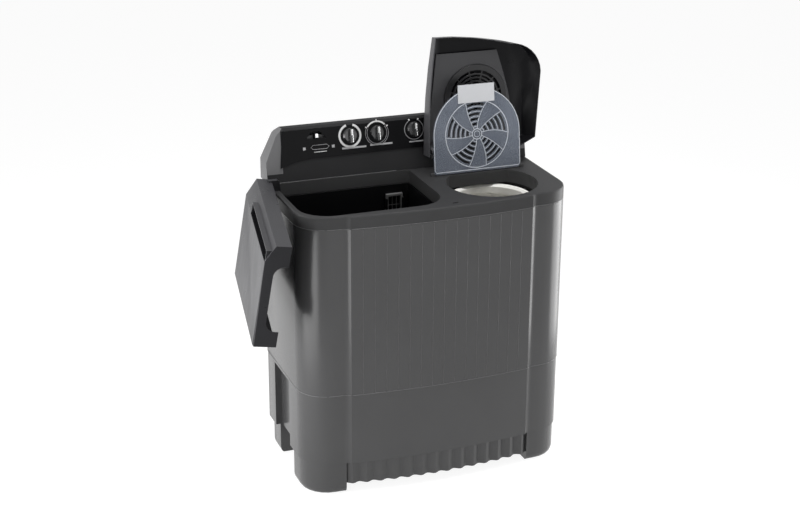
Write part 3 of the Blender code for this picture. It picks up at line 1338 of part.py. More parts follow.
def build_fascia(panel):
    """Glossy panel on the sloping face, with the dial holes and the lever's slot."""
    right = [(FASCIA_HALF, FASCIA_HIGH), (FASCIA_WING_HALF, FASCIA_WING_LOW),
             ((FASCIA_WING_HALF + FASCIA_BEND_X) / 2, (FASCIA_WING_LOW * 0.3 + FASCIA_LOW * 0.7)),
             (FASCIA_BEND_X, FASCIA_LOW)]
    outline = right + [(-x, s) for x, s in reversed(right)]
    fascia = slab("control_panel", outline, -GAP - FASCIA_THICK, -GAP, "Y", "black_gloss")
    on_face(fascia, panel)
    for name, x in (("wash", WASH_TIMER_X), ("selector", SELECTOR_X), ("spin", SPIN_TIMER_X)):
        hole = cylinder("panel_hole_" + name, KNOB_STEM_RADIUS + RUNNING_GAP, -2 * FASCIA_THICK, OVERRUN,
                        (x, DIAL_S), "Y")
        cut(fascia, on_face(hole, panel))
    cut(fascia, on_face(fan_slot("panel_fan", -2 * FASCIA_THICK, OVERRUN), panel))


def build_dials(panel):
    """Knobs in front of the fascia, and the timers and the selector behind the face."""
    build_control("wash_timer", WASH_TIMER_X, (TIMER_WIDTH, TIMER_HEIGHT, TIMER_DEPTH), panel)
    build_control("selector", SELECTOR_X, (SELECTOR_WIDTH, SELECTOR_HEIGHT, SELECTOR_DEPTH), panel)
    build_control("spin_timer", SPIN_TIMER_X, (TIMER_WIDTH, TIMER_HEIGHT, TIMER_DEPTH), panel)


def build_control(name, x, size, panel):
    """One knob with its grip and stem, and the switch body that it turns."""
    width, height, depth = size
    front = GAP + FASCIA_THICK + RUNNING_GAP
    stem = front + KNOB_STEM_LENGTH
    knob = turned(name + "_knob", [
        (0, front + KNOB_HEIGHT), (KNOB_RADIUS - KNOB_SKIRT, front + KNOB_HEIGHT),
        (KNOB_RADIUS, front + KNOB_SKIRT / 2), (KNOB_RADIUS, front), (KNOB_STEM_RADIUS, front),
        (KNOB_STEM_RADIUS, front - stem), (0, front - stem),
    ], (0, 0), MEDIUM, finish="dark_trim")
    knob.rotation_euler = (math.radians(90), 0, 0)
    knob.location = (x, 0, DIAL_S)
    on_face(knob, panel)
    low = front + KNOB_HEIGHT / 2
    grip = box(name + "_grip", (x - KNOB_GRIP_WIDTH / 2, -front - KNOB_GRIP_HEIGHT, DIAL_S - KNOB_GRIP_LENGTH / 2),
               (x + KNOB_GRIP_WIDTH / 2, -low, DIAL_S + KNOB_GRIP_LENGTH / 2))
    join(knob, on_face(grip, panel))
    near = WALL + GAP
    rear = near + depth
    body = box(name + "_body", (x - width / 2, near, DIAL_S - height / 2),
               (x + width / 2, rear, DIAL_S + height / 2), "pale_plastic")
    on_face(body, panel)
    cut(body, on_face(cylinder(name + "_bore", KNOB_STEM_RADIUS + RUNNING_GAP, near - OVERRUN,
                               stem - front + RUNNING_GAP + GAP, (x, DIAL_S), "Y"), panel))


def build_inlet(panel):
    """Water inlet: the port in the back, the diverter behind it and its lever on the face."""
    front = GAP + FASCIA_THICK
    far = WALL + GAP
    hub_low = LEVER_PIVOT_S + LEVER_HUB_RADIUS
    lever = box("inlet_lever", (LEVER_X - LEVER_WIDTH / 2, -front - LEVER_HEIGHT, FAN_LOW_S + LEVER_RISE),
                (LEVER_X + LEVER_WIDTH / 2, far + LEVER_HUB_RADIUS, LEVER_PIVOT_S + LEVER_LENGTH), "silver")
    arm = box("lever_arm", (LEVER_X - LEVER_WIDTH / 2, far + RUNNING_GAP, LEVER_PIVOT_S),
              (LEVER_X + LEVER_WIDTH / 2, far + LEVER_HUB_RADIUS, hub_low + LEVER_LENGTH / 2))
    hub = cylinder("lever_hub", LEVER_HUB_RADIUS, far + RUNNING_GAP, far + LEVER_HUB_RADIUS,
                   (LEVER_X, LEVER_PIVOT_S), "Y")
    on_face(arm, panel)
    on_face(hub, panel)
    join(lever, arm, hub)
    move_origin(lever, (LEVER_X, 0, LEVER_PIVOT_S))
    on_face(lever, panel)
    near = far + LEVER_HUB_RADIUS + GAP
    diverter = box("water_diverter", (LEVER_X - DIVERTER_WIDTH / 2, near, LEVER_PIVOT_S - DIVERTER_HEIGHT / 2),
                   (LEVER_X + DIVERTER_WIDTH / 2, near + DIVERTER_DEPTH, LEVER_PIVOT_S + DIVERTER_HEIGHT / 2),
                   "pale_plastic")
    on_face(diverter, panel)
    inside = REAR_Y - BACK_COVER_THICK - INLET_INSIDE
    flange_low = REAR_Y + GAP - inside
    top = flange_low + FLANGE_THICK
    turned("water_inlet", [
        (INLET_BORE, top + INLET_REACH), (INLET_RADIUS, top + INLET_REACH), (INLET_RADIUS, top),
        (INLET_FLANGE_RADIUS, top), (INLET_FLANGE_RADIUS, flange_low), (INLET_RADIUS, flange_low),
        (INLET_RADIUS, 0), (INLET_BORE, 0),
    ], (LEVER_X, INLET_Z), MEDIUM, closed=True, finish="pale_plastic", axis="Y", along_at=inside)


def move_origin(thing, place):
    """Moves the object's origin, and not its shape, to a place in its own frame."""
    thing.data.transform(Matrix.Translation(-Vector(place)))
    thing.location = place


def lid_round(corner_x, corner_back, round_x, round_y):
    """The lid's front right corner, a quarter of an oval, from its front to its right end."""
    centre_y = LID_FRONT + corner_back + round_y
    points = []
    for k in range(LID_ROUND_STEPS + 1):
        turn = math.pi / 2 * k / LID_ROUND_STEPS
        points.append((corner_x + round_x * math.sin(turn), centre_y - round_y * math.cos(turn)))
    return points


def lid_plan(inset, corner, taper):
    """Plan of the spin lid: the left side, the bowed front, the round corner, the cut rear right corner."""
    rear_y = SPIN_HINGE_Y + LID_REAR_LAP
    corner_x, corner_back = corner[0], corner[1]
    left = LID_LEFT_FRONT + inset
    front = LID_FRONT + inset
    points = []
    for k in range(LID_BOW_STEPS + 1):
        share = k / LID_BOW_STEPS
        across = LID_LEFT_REAR + inset + (LID_LEFT_FRONT - LID_LEFT_REAR) * share
        bow = 4 * LID_LEFT_BOW * share * (1 - share)
        points.append((across - bow, rear_y + (front - rear_y) * share))
    for k in range(1, LID_BOW_STEPS):
        share = k / LID_BOW_STEPS
        points.append((left + (corner_x - left) * share, front + (corner_back - inset) * share ** 2))
    points += lid_round(*corner)
    points.append((corner_x + corner[2] - taper, rear_y - LID_REAR_CUT))
    points.append((LID_REAR_KEEP_X, rear_y))
    return points


def lid_plans():
    """The closed spin lid's low edge and the edge of its flat top."""
    low = (LID_LOW_CORNER_X, LID_LOW_CORNER_BACK, LID_LOW_ROUND_X, LID_LOW_ROUND_Y)
    top = (LID_TOP_CORNER_X, LID_TOP_CORNER_BACK, LID_TOP_ROUND_X, LID_TOP_ROUND_Y)
    return lid_plan(0, low, LID_LOW_TAPER), lid_plan(LID_TOP_INSET, top, 0)


def lid_top(y):
    """Height of the closed spin lid's top, which falls towards the front."""
    rear = SPIN_HINGE_Y + LID_REAR_LAP
    share = (rear - y) / (rear - LID_FRONT)
    return SPIN_HINGE_Z + LID_TOP_RISE - LID_FRONT_DROP * share


def lid_slope():
    """Angle at which the closed spin lid's top rises towards its hinge."""
    return math.atan2(LID_FRONT_DROP, SPIN_HINGE_Y + LID_REAR_LAP - LID_FRONT)


def lid_low():
    return DECK_Z + LID_CLEAR


def spin_lid_rings():
    """Rings of the spin lid's skin: upright at the left and the front, sloping out over a fold at the right."""
    low = lid_low()
    outside, inside = lid_plans()
    before_round = 2 * LID_BOW_STEPS
    fold, top = [], []
    for k, ((x, y), (top_x, top_y)) in enumerate(zip(outside, inside)):
        turn = min(1, max(0, (k - before_round) / LID_ROUND_STEPS))
        share = turn * turn * (3 - 2 * turn)
        height = lid_top(y) - LID_EDGE
        lean = LID_FOLD_SHARE * share
        fold.append((x + (top_x - x) * lean, y + (top_y - y) * lean, height + (low + LID_SIDE_SKIRT - height) * share))
        top.append((top_x, top_y, lid_top(top_y)))
    return [[(x, y, low) for x, y in outside], fold, top]


def build_spin_lid():
    """Outer spin lid with its hinge bosses, drawn closed and then swung open on its hinge."""
    lid = loft("spin_lid", spin_lid_rings(), "smoked", cap_high=True, open_rear=True)
    thicken(lid, LID_WALL)
    for name, low_x in (("left", LEFT_EAR_X - GAP - BOSS_WIDTH), ("right", RIGHT_EAR_X + EAR_WIDTH + GAP)):
        front = SPIN_HINGE_Y - 3 * EAR_RADIUS
        outline = arc(SPIN_HINGE_Y, SPIN_HINGE_Z, EAR_RADIUS, 180, 360)
        outline += [(SPIN_HINGE_Y + LID_REAR_LAP - OVERRUN, lid_top(SPIN_HINGE_Y) - LID_WALL / 2),
                    (front, lid_top(front) - LID_WALL / 2)]
        boss = slab("lid_boss_" + name, outline, low_x, low_x + BOSS_WIDTH, "X")
        hole = cylinder("lid_hole_" + name, PIN_RADIUS + PIN_CLEAR, low_x - OVERRUN,
                        low_x + BOSS_WIDTH + OVERRUN, (SPIN_HINGE_Y, SPIN_HINGE_Z), "X")
        join(lid, boss)
        cut(lid, hole)
        cylinder("spin_lid_pin_" + name, PIN_RADIUS, min(low_x, ear_low(name)) + GAP,
                 max(low_x + BOSS_WIDTH, ear_low(name) + EAR_WIDTH) - GAP,
                 (SPIN_HINGE_Y, SPIN_HINGE_Z), "X", finish="steel")
    inner = build_lid_inner()
    grille = build_grille()
    swing([lid, inner, grille], "spin_hinge", (SPIN_HINGE_Y, SPIN_HINGE_Z), SPIN_OPEN)


def ear_low(name):
    return LEFT_EAR_X if name == "left" else RIGHT_EAR_X


def swing(things, name, place, angle):
    """Parents things and their cutters, all drawn closed, to an empty that opens by an angle."""
    hinge = bpy.data.objects.new(name, None)
    CUTTERS.objects.link(hinge)
    hinge.location = (0, *place)
    hinge.rotation_euler = (math.radians(-angle), 0, 0)
    back = Matrix.Translation((0, -place[0], -place[1]))
    family = []
    for thing in things:
        gather(thing, family)
    for thing in family:
        thing.matrix_basis = back @ thing.matrix_basis
        thing.parent = hinge
    return hinge


def gather(thing, family):
    """Lists an object with everything that its Boolean modifiers use."""
    if thing in family:
        return
    family.append(thing)
    for modifier in thing.modifiers:
        if modifier.type == "BOOLEAN":
            gather(modifier.object, family)


def lid_plate_corners(margin_left, right_rear, right_front):
    """Outline of the inner cover, with its curved right edge."""
    rear = SPIN_HINGE_Y - INNER_REAR_MARGIN
    front = LID_FRONT + INNER_FRONT_MARGIN
    left_rear = LID_LEFT_REAR + margin_left
    left_front = LID_LEFT_FRONT + margin_left
    points = [(left_rear, rear), (left_front, front), (right_front, front)]
    steps = 6
    for k in range(1, steps + 1):
        t = k / steps
        bow = math.sin(t * math.pi / 2)
        points.append((right_front + (right_rear - right_front) * bow, front + (rear - front) * t))
    return points


def build_lid_inner():
    """Inner cover plate of the spin lid, with a round hole for the vent grille."""
    rear = SPIN_HINGE_Y - INNER_REAR_MARGIN
    slope = lid_slope()
    outline = lid_plate_corners(INNER_LEFT_MARGIN, INNER_RIGHT_REAR, INNER_RIGHT_FRONT)
    middle = (rear + LID_FRONT) / 2
    level = lid_top(middle) - INNER_DROP
    plate = slab("spin_lid_inner", [(x, y - middle) for x, y in outline], -INNER_THICK, 0, finish="dark_trim")
    grille_y = SPIN_HINGE_Y - GRILLE_REACH - middle
    hole = cylinder("grille_seat", GRILLE_RADIUS - GRILLE_RIM / 3, -2 * INNER_THICK, INNER_THICK,
                    (GRILLE_X, grille_y), segments=FINE)
    cut(plate, hole)
    posts = []
    for index, (x, y) in enumerate(plate_posts(outline, middle)):
        posts.append(cylinder("plate_post_" + str(index + 1), STANDOFF_RADIUS / 2, -INNER_THICK / 2,
                              INNER_DROP - LID_WALL - POST_CLEAR, (x, y), segments=8))
    join(plate, *posts)
    for piece in [plate, hole] + posts:
        piece.matrix_basis = Matrix.Translation((0, middle, level)) @ Matrix.Rotation(slope, 4, "X")
    return plate


def plate_posts(outline, middle):
    """Four posts that carry the inner cover under the lid's top."""
    inset = 2 * STANDOFF_RADIUS
    rear = SPIN_HINGE_Y - INNER_REAR_MARGIN - middle - inset
    front = LID_FRONT + INNER_FRONT_MARGIN - middle + inset
    return [(LID_LEFT_FRONT + 2 * inset, rear), (LID_LEFT_FRONT + 2 * inset, front),
            (INNER_RIGHT_FRONT - inset, front), (INNER_RIGHT_REAR - 2 * inset, rear)]


def build_grille():
    """Round vent grille on the inner cover: a rim, a hub and bars between them."""
    rear = SPIN_HINGE_Y - INNER_REAR_MARGIN
    slope = lid_slope()
    middle = (rear + LID_FRONT) / 2
    level = lid_top(middle) - INNER_DROP
    low = -INNER_THICK - GAP - GRILLE_THICK
    high = -INNER_THICK - GAP
    centre_y = SPIN_HINGE_Y - GRILLE_REACH - middle
    outer, inner = GRILLE_RADIUS, GRILLE_RADIUS - GRILLE_RIM
    grille = turned("vent_grille", [(inner, high), (outer, high), (outer - GRILLE_THICK / 2, low), (inner, low)],
                    (GRILLE_X, centre_y), FINE, closed=True, finish="dark_trim")
    hub = cylinder("grille_hub", GRILLE_HUB, low - GAP, high, (GRILLE_X, centre_y), segments=SMALL)
    pieces = [hub]
    pitch = (inner - GRILLE_HUB) / (GRILLE_HOOPS + 1)
    for k in range(1, GRILLE_HOOPS + 1):
        radius = GRILLE_HUB + pitch * k
        half = GRILLE_HOOP_WIDTH / 2
        pieces.append(turned("grille_hoop_" + str(k), [
            (radius - half, high - GAP), (radius + half, high - GAP), (radius + half, low + GAP),
            (radius - half, low + GAP)], (GRILLE_X, centre_y), MEDIUM, closed=True))
    for k in range(GRILLE_BARS // 2):
        lift = GAP / 4 * k
        bar = box("grille_bar_" + str(k + 1), (-inner - GRILLE_RIM / 4, -GRILLE_BAR / 2, low + 2 * GAP + lift),
                  (inner + GRILLE_RIM / 4, GRILLE_BAR / 2, high - 2 * GAP - lift))
        turn = Matrix.Rotation(2 * math.pi * (k + 0.5) / GRILLE_BARS, 4, "Z")
        bar.data.transform(Matrix.Translation((GRILLE_X, centre_y, 0)) @ turn)
        pieces.append(bar)
    join(grille, *pieces)
    tilt = Matrix.Translation((0, middle, level)) @ Matrix.Rotation(slope, 4, "X")
    for piece in [grille] + pieces:
        piece.matrix_basis = tilt @ piece.matrix_basis
    return grille


def safety_outline(grow):
    """The D shape of the safety lid, drawn closed round its hinge line."""
    half = SAFETY_HALF + grow
    centre_y = SAFETY_HINGE_Y - SAFETY_ARC_REACH
    rear = SAFETY_HINGE_Y + SAFETY_REAR + grow
    corner = SAFETY_CORNER
    points = arc(SPIN_X, centre_y, half, 180, 360, 20)
    points += arc(SPIN_X + half - corner, rear - corner, corner, 0, 90, 2)
    points += arc(SPIN_X - half + corner, rear - corner, corner, 90, 180, 2)
    return points


def build_safety_lid():
    """Clear safety lid with a raised rim, a hub and swept blades of slots, and its tag."""
    hinge_z = DECK_Z + SAFETY_HINGE_RISE
    low = hinge_z - SAFETY_DROP
    high = low + SAFETY_THICK
    centre_y = SAFETY_HINGE_Y - SAFETY_ARC_REACH
    lid = slab("safety_lid", safety_outline(0), low, high, finish="frost")
    rim = slab("safety_rim", safety_outline(0), high - SAFETY_THICK / 2, high + SAFETY_RIM_HEIGHT)
    cut(rim, slab("safety_rim_room", safety_outline(-SAFETY_RIM), high, high + 2 * SAFETY_RIM_HEIGHT))
    hub = cylinder("safety_hub", SAFETY_HUB_RADIUS, high - SAFETY_THICK / 2, high + SAFETY_RIM_HEIGHT,
                   (SPIN_X, centre_y), segments=SMALL)
    join(lid, rim, hub)
    pitch = (SAFETY_DISC_RADIUS - SAFETY_HUB_RADIUS) / (BLADE_SLOTS + 0.5)
    slots = []
    for blade in range(BLADE_COUNT):
        for k in range(BLADE_SLOTS):
            radius = SAFETY_HUB_RADIUS + pitch * (k + 0.7)
            share = (k + 0.5) / BLADE_SLOTS
            middle = BLADE_START + 360 / BLADE_COUNT * blade - BLADE_SWEEP * share
            half = BLADE_SPAN / 2 * (BLADE_ROOT_SHARE + (1 - BLADE_ROOT_SHARE) * share)
            outer = arc(SPIN_X, centre_y, radius + BLADE_SLOT_WIDTH, middle - half, middle + half, 3)
            inner = arc(SPIN_X, centre_y, radius, middle + half, middle - half, 3)
            slots.append(outer + inner)
    cut(lid, slabs("blade_slots", slots, low - OVERRUN, high + 2 * SAFETY_RIM_HEIGHT))
    for side, name in ((-1, "left"), (1, "right")):
        far = SPIN_X + side * (SAFETY_HALF + KNUCKLE_LENGTH)
        near = SPIN_X + side * (SAFETY_HALF - 2 * KNUCKLE_LENGTH)
        pin = cylinder("safety_pin_" + name, KNUCKLE_PIN, min(far, near), max(far, near),
                       (SAFETY_HINGE_Y, hinge_z), "X", segments=12)
        join(lid, pin)
    tag_high = low - GAP
    tag = box("safety_tag", (TAG_LEFT, SAFETY_HINGE_Y - TAG_FAR, tag_high - TAG_THICK),
              (TAG_RIGHT, SAFETY_HINGE_Y - TAG_NEAR, tag_high), "white")
    swing([lid, tag], "safety_hinge", (SAFETY_HINGE_Y, hinge_z), SPIN_OPEN)


def wash_lid_ring(front, side, rear, radius, z, front_z=None):
    """One ring of the wash lid's skin, from the front left corner round to the rear left."""
    x_low, x_high = side, WASH_LID_LENGTH - side
    y_low, y_high = front, WASH_LID_DEPTH - rear
    edge = z if front_z is None else front_z
    return [(x_low, y_low, edge), (x_high, y_low, edge), (x_high, y_high, z), (x_low, y_high, z)]


def build_wash_lid():
    """Wash lid with its bevelled front, skirt and grip pocket, hung on the left rim of the deck."""
    edge = WASH_LID_EDGE
    drop = WASH_LID_BEVEL_DROP
    rings = [
        wash_lid_ring(0, 0, 0, 0, -WASH_LID_SKIRT),
        wash_lid_ring(0, 0, 0, 0, -edge, -drop),
        wash_lid_ring(WASH_LID_BEVEL_DEPTH, edge, edge, 0, 0),
    ]
    lid = loft("wash_lid", rings, "smoked", cap_high=True)
    thicken(lid, LID_WALL)
    pocket = box("grip_outer", (GRIP_LEFT - LID_WALL, GRIP_FRONT - LID_WALL, -GRIP_DEPTH - LID_WALL),
                 (GRIP_RIGHT + LID_WALL, GRIP_REAR + LID_WALL, -LID_WALL / 2))
    room = box("grip_room", (GRIP_LEFT, GRIP_FRONT, -GRIP_DEPTH), (GRIP_RIGHT, GRIP_REAR, OVERRUN))
    low = -WASH_LID_SKIRT - OVERRUN
    bend_z = -WASH_LID_ARCH_TOP - WASH_LID_ARCH_RADIUS
    outline = [(WASH_LID_ARCH_FRONT, low), (WASH_LID_ARCH_REAR, low)]
    outline += arc(WASH_LID_ARCH_REAR - WASH_LID_ARCH_RADIUS, bend_z, WASH_LID_ARCH_RADIUS, 0, 90)
    outline += arc(WASH_LID_ARCH_FRONT + WASH_LID_ARCH_RADIUS, bend_z, WASH_LID_ARCH_RADIUS, 90, 180)
    arch = slab("side_arch", outline, -OVERRUN, WASH_LID_LENGTH + OVERRUN, "X")
    join(lid, pocket)
    cut(lid, room, arch)
    hang = hang_matrix()
    for piece in (lid, pocket, room, arch):
        piece.matrix_basis = hang
    inside = TUB_LEFT + RUNNING_GAP
    outline = [
        (HOOK_OUT_X, HOOK_TOP_Z), (HOOK_OUT_X, HOOK_TOP_Z - HOOK_THICK), (-HALF_WIDTH - SCREEN, DECK_Z + GAP),
        (inside, DECK_Z + GAP), (inside, DECK_Z - HOOK_TONGUE), (inside + HOOK_THICK, DECK_Z - HOOK_TONGUE),
        (inside + HOOK_THICK, DECK_Z + HOOK_THICK), (inside, HOOK_TOP_Z - HOOK_THICK),
        (inside - HOOK_THICK, HOOK_TOP_Z),
    ]
    join(lid, slab("hang_hook", outline, HOOK_Y - HOOK_WIDTH / 2, HOOK_Y + HOOK_WIDTH / 2, "Y"))


def hang_matrix():
    """Turns the closed wash lid so that its front edge is up and its top faces away to the left."""
    hung = Matrix(((0, 0, -1, 0), (1, 0, 0, 0), (0, -1, 0, 0), (0, 0, 0, 1)))
    turn = (Matrix.Rotation(math.radians(HANG_YAW), 4, "Z") @ Matrix.Rotation(math.radians(HANG_LEAN), 4, "Y")
            @ Matrix.Rotation(math.radians(HANG_DROOP), 4, "X"))
    corner = Matrix.Translation((-WASH_LID_LENGTH, 0, WASH_LID_BEVEL_DROP))
    return Matrix.Translation((HANG_X, HANG_Y, HANG_Z)) @ turn @ hung @ corner


def build_lint_filter():
    """Lint filter frame with its net, in a holder on the rear wall of the wash tub."""
    left, right = FILTER_X - FILTER_WIDTH / 2, FILTER_X + FILTER_WIDTH / 2
    back = tub_rear_at(FILTER_LOW_Z - 2 * FILTER_WALL) - GAP
    front = back - FILTER_DEPTH - 2 * FILTER_WALL - 2 * SCREEN
    slot_back = back - FILTER_WALL
    low = FILTER_LOW_Z - FILTER_WALL - GAP
    holder = box("filter_holder", (left - FILTER_WALL - SCREEN, front, low),
                 (right + FILTER_WALL + SCREEN, back, FILTER_HIGH_Z - 2 * FILTER_BORDER), "tub_plastic")
    cut(holder, box("holder_slot", (left - SCREEN, front + FILTER_WALL, FILTER_LOW_Z - GAP),
                    (right + SCREEN, slot_back, FILTER_HIGH_Z)))
    cut(holder, box("holder_window", (left + FILTER_BORDER / 2, front - OVERRUN, FILTER_LOW_Z + FILTER_BORDER / 2),
                    (right - FILTER_BORDER / 2, front + 2 * FILTER_WALL, FILTER_HIGH_Z)))
    y_low = front + FILTER_WALL + SCREEN
    y_high = y_low + FILTER_DEPTH
    frame = box("lint_filter", (left, y_low, FILTER_LOW_Z), (right, y_high, FILTER_HIGH_Z), "blue_plastic")
    net_y = y_low + FILTER_DEPTH / 3
    window = box("filter_window", (left + FILTER_BORDER, y_low - OVERRUN, FILTER_LOW_Z + FILTER_BORDER),
                 (right - FILTER_BORDER, y_high + OVERRUN, FILTER_HIGH_Z - FILTER_BORDER))
    cut(frame, window)
    build_net(frame, left + FILTER_BORDER, right - FILTER_BORDER, net_y)


def tub_rear_at(z):
    """Y of the inside of the wash tub's rear wall at a height above the knee."""
    share = (z - TUB_KNEE_Z) / (TRIM_Z - GAP - TUB_KNEE_Z)
    inset = TUB_KNEE_INSET + (TUB_TOP_INSET - TUB_KNEE_INSET) * share
    return TUB_REAR - inset


def build_net(frame, left, right, y):
    """Strands of the flat net, let into the filter's frame."""
    low = FILTER_LOW_Z + FILTER_BORDER
    high = FILTER_HIGH_Z - FILTER_BORDER
    half = NET_STRAND / 2
    lap = FILTER_BORDER / 3
    for k in range(1, NET_COLUMNS):
        x = left + (right - left) * k / NET_COLUMNS
        join(frame, box("net_upright_" + str(k), (x - half, y - half, low - lap), (x + half, y + half, high + lap)))
    for k in range(1, NET_ROWS):
        z = low + (high - low) * k / NET_ROWS
        join(frame, box("net_row_" + str(k), (left - lap, y - half, z - half), (right + lap, y + half, z + half)))


def centre_on_floor():
    """Moves everything so that the middle of its footprint is at the origin."""
    bpy.context.view_layer.update()
    graph = bpy.context.evaluated_depsgraph_get()
    low = Vector((math.inf, math.inf, math.inf))
    high = -low
    for thing in PARTS.objects:
        seen = thing.evaluated_get(graph)
        for corner in seen.to_mesh().vertices:
            place = seen.matrix_world @ corner.co
            low = Vector(map(min, low, place))
            high = Vector(map(max, high, place))
        seen.to_mesh_clear()
    shift = Vector((-(low.x + high.x) / 2, -(low.y + high.y) / 2, -low.z))
    for thing in list(PARTS.objects) + list(CUTTERS.objects):
        if thing.parent is None:
            thing.location += shift
    bpy.context.view_layer.update()
    return shift


def main():
    clear_scene()
    build_base()
    build_cabinet()
    build_deck()
    build_wash_tub()
    build_pulsator()
    build_wash_drive()
    build_spin_tub()
    build_basket()
    build_spin_seal()
    build_spin_motor()
    build_drain()
    build_small_electrics()
    panel = face_frame()
    build_housing(panel)
    build_fascia(panel)
    build_dials(panel)
    build_inlet(panel)
    build_spin_lid()
    build_safety_lid()
    build_wash_lid()
    build_lint_filter()
    shift = centre_on_floor()
    print("origin of the cabinet's own frame:", [round(value, 5) for value in shift])


main()
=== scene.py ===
# %% [markdown]
# # A twin-tub washing machine, dressed for a picture
#
# The solid model of the machine comes in as a fixed frame of named pieces. This lesson gives
# every piece the finish of the real one, adds the prints, screws and trims that are too fine
# for the solid model, and sets up the light and the camera of a plain product photograph.
# Each cell does one thing and prints what it made.

import json
import math

import bmesh
import bpy
from mathutils import Matrix, Vector
from mathutils.bvhtree import BVHTree


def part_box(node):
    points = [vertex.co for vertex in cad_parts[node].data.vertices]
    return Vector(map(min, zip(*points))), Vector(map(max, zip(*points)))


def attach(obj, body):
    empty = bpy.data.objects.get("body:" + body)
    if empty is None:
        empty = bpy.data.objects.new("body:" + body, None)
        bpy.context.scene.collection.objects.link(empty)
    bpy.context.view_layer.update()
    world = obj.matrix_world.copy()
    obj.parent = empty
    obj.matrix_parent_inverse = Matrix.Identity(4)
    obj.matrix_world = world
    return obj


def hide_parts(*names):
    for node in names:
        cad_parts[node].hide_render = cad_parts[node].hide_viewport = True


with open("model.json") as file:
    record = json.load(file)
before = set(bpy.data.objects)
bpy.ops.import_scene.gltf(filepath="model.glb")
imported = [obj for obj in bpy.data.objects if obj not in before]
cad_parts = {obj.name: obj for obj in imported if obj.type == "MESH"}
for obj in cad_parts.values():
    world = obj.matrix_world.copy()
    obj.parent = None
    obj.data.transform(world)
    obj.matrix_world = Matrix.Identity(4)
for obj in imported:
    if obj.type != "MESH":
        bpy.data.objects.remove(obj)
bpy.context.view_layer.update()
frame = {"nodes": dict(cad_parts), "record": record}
NODES = frame["nodes"]

# %% [markdown]
# ## Where things are
#
# The drawings of the machine measure from the middle of the cabinet, while the frame has its
# origin in the middle of everything, lids included. The base piece is the same to left and
# right and its rear is known in the drawing, so its box gives the step between the two. The
# control panel leans back, so a print on it is placed by how far along (x), how far up the
# slope (s) and how far out of the face it is.

# %% Places on the machine
BASE_REAR = 0.2075
DECK_TOP = 0.8367
FACE_FOOT_Y = 0.1365
FACE_LEAN = math.radians(12)
FACE_SKIN = 0.0028

base_low, base_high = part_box("base")
SHIFT = Vector(((base_low.x + base_high.x) / 2, base_high.y - BASE_REAR, 0))


def place(x, y, z):
    """A point of the machine's own drawing, in the row frame."""
    return Vector((x, y, z)) + SHIFT


FACE_UP = Vector((0, math.sin(FACE_LEAN), math.cos(FACE_LEAN)))
FACE_OUT = Vector((0, -math.cos(FACE_LEAN), math.sin(FACE_LEAN)))


def on_face(x, s, out=0):
    """A point x along the control panel's slope, s up it and out in front of it."""
    return place(x, FACE_FOOT_Y, DECK_TOP) + FACE_UP * s + FACE_OUT * out


print("the drawing's origin is at", [round(value, 4) for value in SHIFT])

# %% [markdown]
# ## Camera
#
# The picture was taken with a long lens, from the left and from above head height. The numbers
# come from fitting a camera to the edges of the machine in the photograph. A camera placed by
# eye would do for a view, but then no edge lands where the picture has it.

# %% Camera
CAMERA_PLACE = place(-1.60726, -4.11624, 2.27480)
CAMERA_RIGHT = Vector((0.9359874, -0.3520005, 0.0048101))
CAMERA_UP = Vector((0.1212172, 0.3350909, 0.9343556))
CAMERA_BACK = Vector((-0.3305055, -0.8739621, 0.3563094))
LENS_MM = 73.887
SENSOR_MM = 36.0
FAR_END = 60

camera_data = bpy.data.cameras.new("camera")
camera_data.lens = LENS_MM
camera_data.sensor_width = SENSOR_MM
camera_data.clip_end = FAR_END
camera = bpy.data.objects.new("camera", camera_data)
turn = Matrix((CAMERA_RIGHT, CAMERA_UP, CAMERA_BACK)).transposed().to_4x4()
camera.matrix_world = Matrix.Translation(CAMERA_PLACE) @ turn
bpy.context.scene.collection.objects.link(camera)
bpy.context.scene.camera = camera
print("camera", [round(value, 3) for value in CAMERA_PLACE])

# %% [markdown]
# ## Light
#
# A dark satin appliance shows its lamps more than its own colour, so the lamps are large and
# soft. On each side stand a low panel close by and a tall one further out, a little behind the
# machine's middle. They rake across the corners and the coves of the pillars and leave the flat
# front alone, which draws bright upright lines, as in the photograph. A weak panel in front
# fills the rest, and one overhead lights the deck and the lids. Spot lamps would be simpler,
# but a small lamp makes a small hot glint on satin, where a panel makes a band.

# %% Lamps
MIDDLE = place(0, 0, 0.5)
# Each lamp's place, its width and height in metres, and its watts.
LAMPS = {
    "left_low": ((-1.25, -0.43, 0.47), 1.15, 0.9, 10),
    "left_rake": ((-2.6, 0.25, 0.85), 1.5, 1.7, 36),
    "right_low": ((1.25, -0.12, 0.47), 0.8, 0.9, 7),
    "right_rake": ((2.6, 0.25, 0.85), 1.5, 1.7, 20),
    "front_fill": ((0.3, -3.6, 1.1), 1.8, 1.6, 20),
    "overhead": ((0.4, -0.2, 3.2), 1.6, 1.2, 60),
}


def panel_lamp(name, at, width, height, watts):
    """A rectangular soft lamp that faces the machine's middle and isn't seen by the camera."""
    data = bpy.data.lights.new(name, "AREA")
    data.shape = "RECTANGLE"
    data.size = width
    data.size_y = height
    data.energy = watts
    lamp = bpy.data.objects.new(name, data)
    lamp.location = at
    lamp.rotation_euler = (MIDDLE - Vector(at)).to_track_quat("-Z", "Y").to_euler()
    lamp.visible_camera = False
    bpy.context.scene.collection.objects.link(lamp)


for lamp_name, (at, width, height, watts) in LAMPS.items():
    panel_lamp(lamp_name, at, width, height, watts)
print(len(LAMPS), "lamps")

# %% [markdown]
# ## Wires: shader maths that reads like maths
#
# A material is a graph of nodes. Writing one node at a time hides what it computes, so a
# small class stands for the output of a node. Adding or multiplying two of them makes the
# Math node and links it, and one method makes any other kind of node.

# %% The Wire class


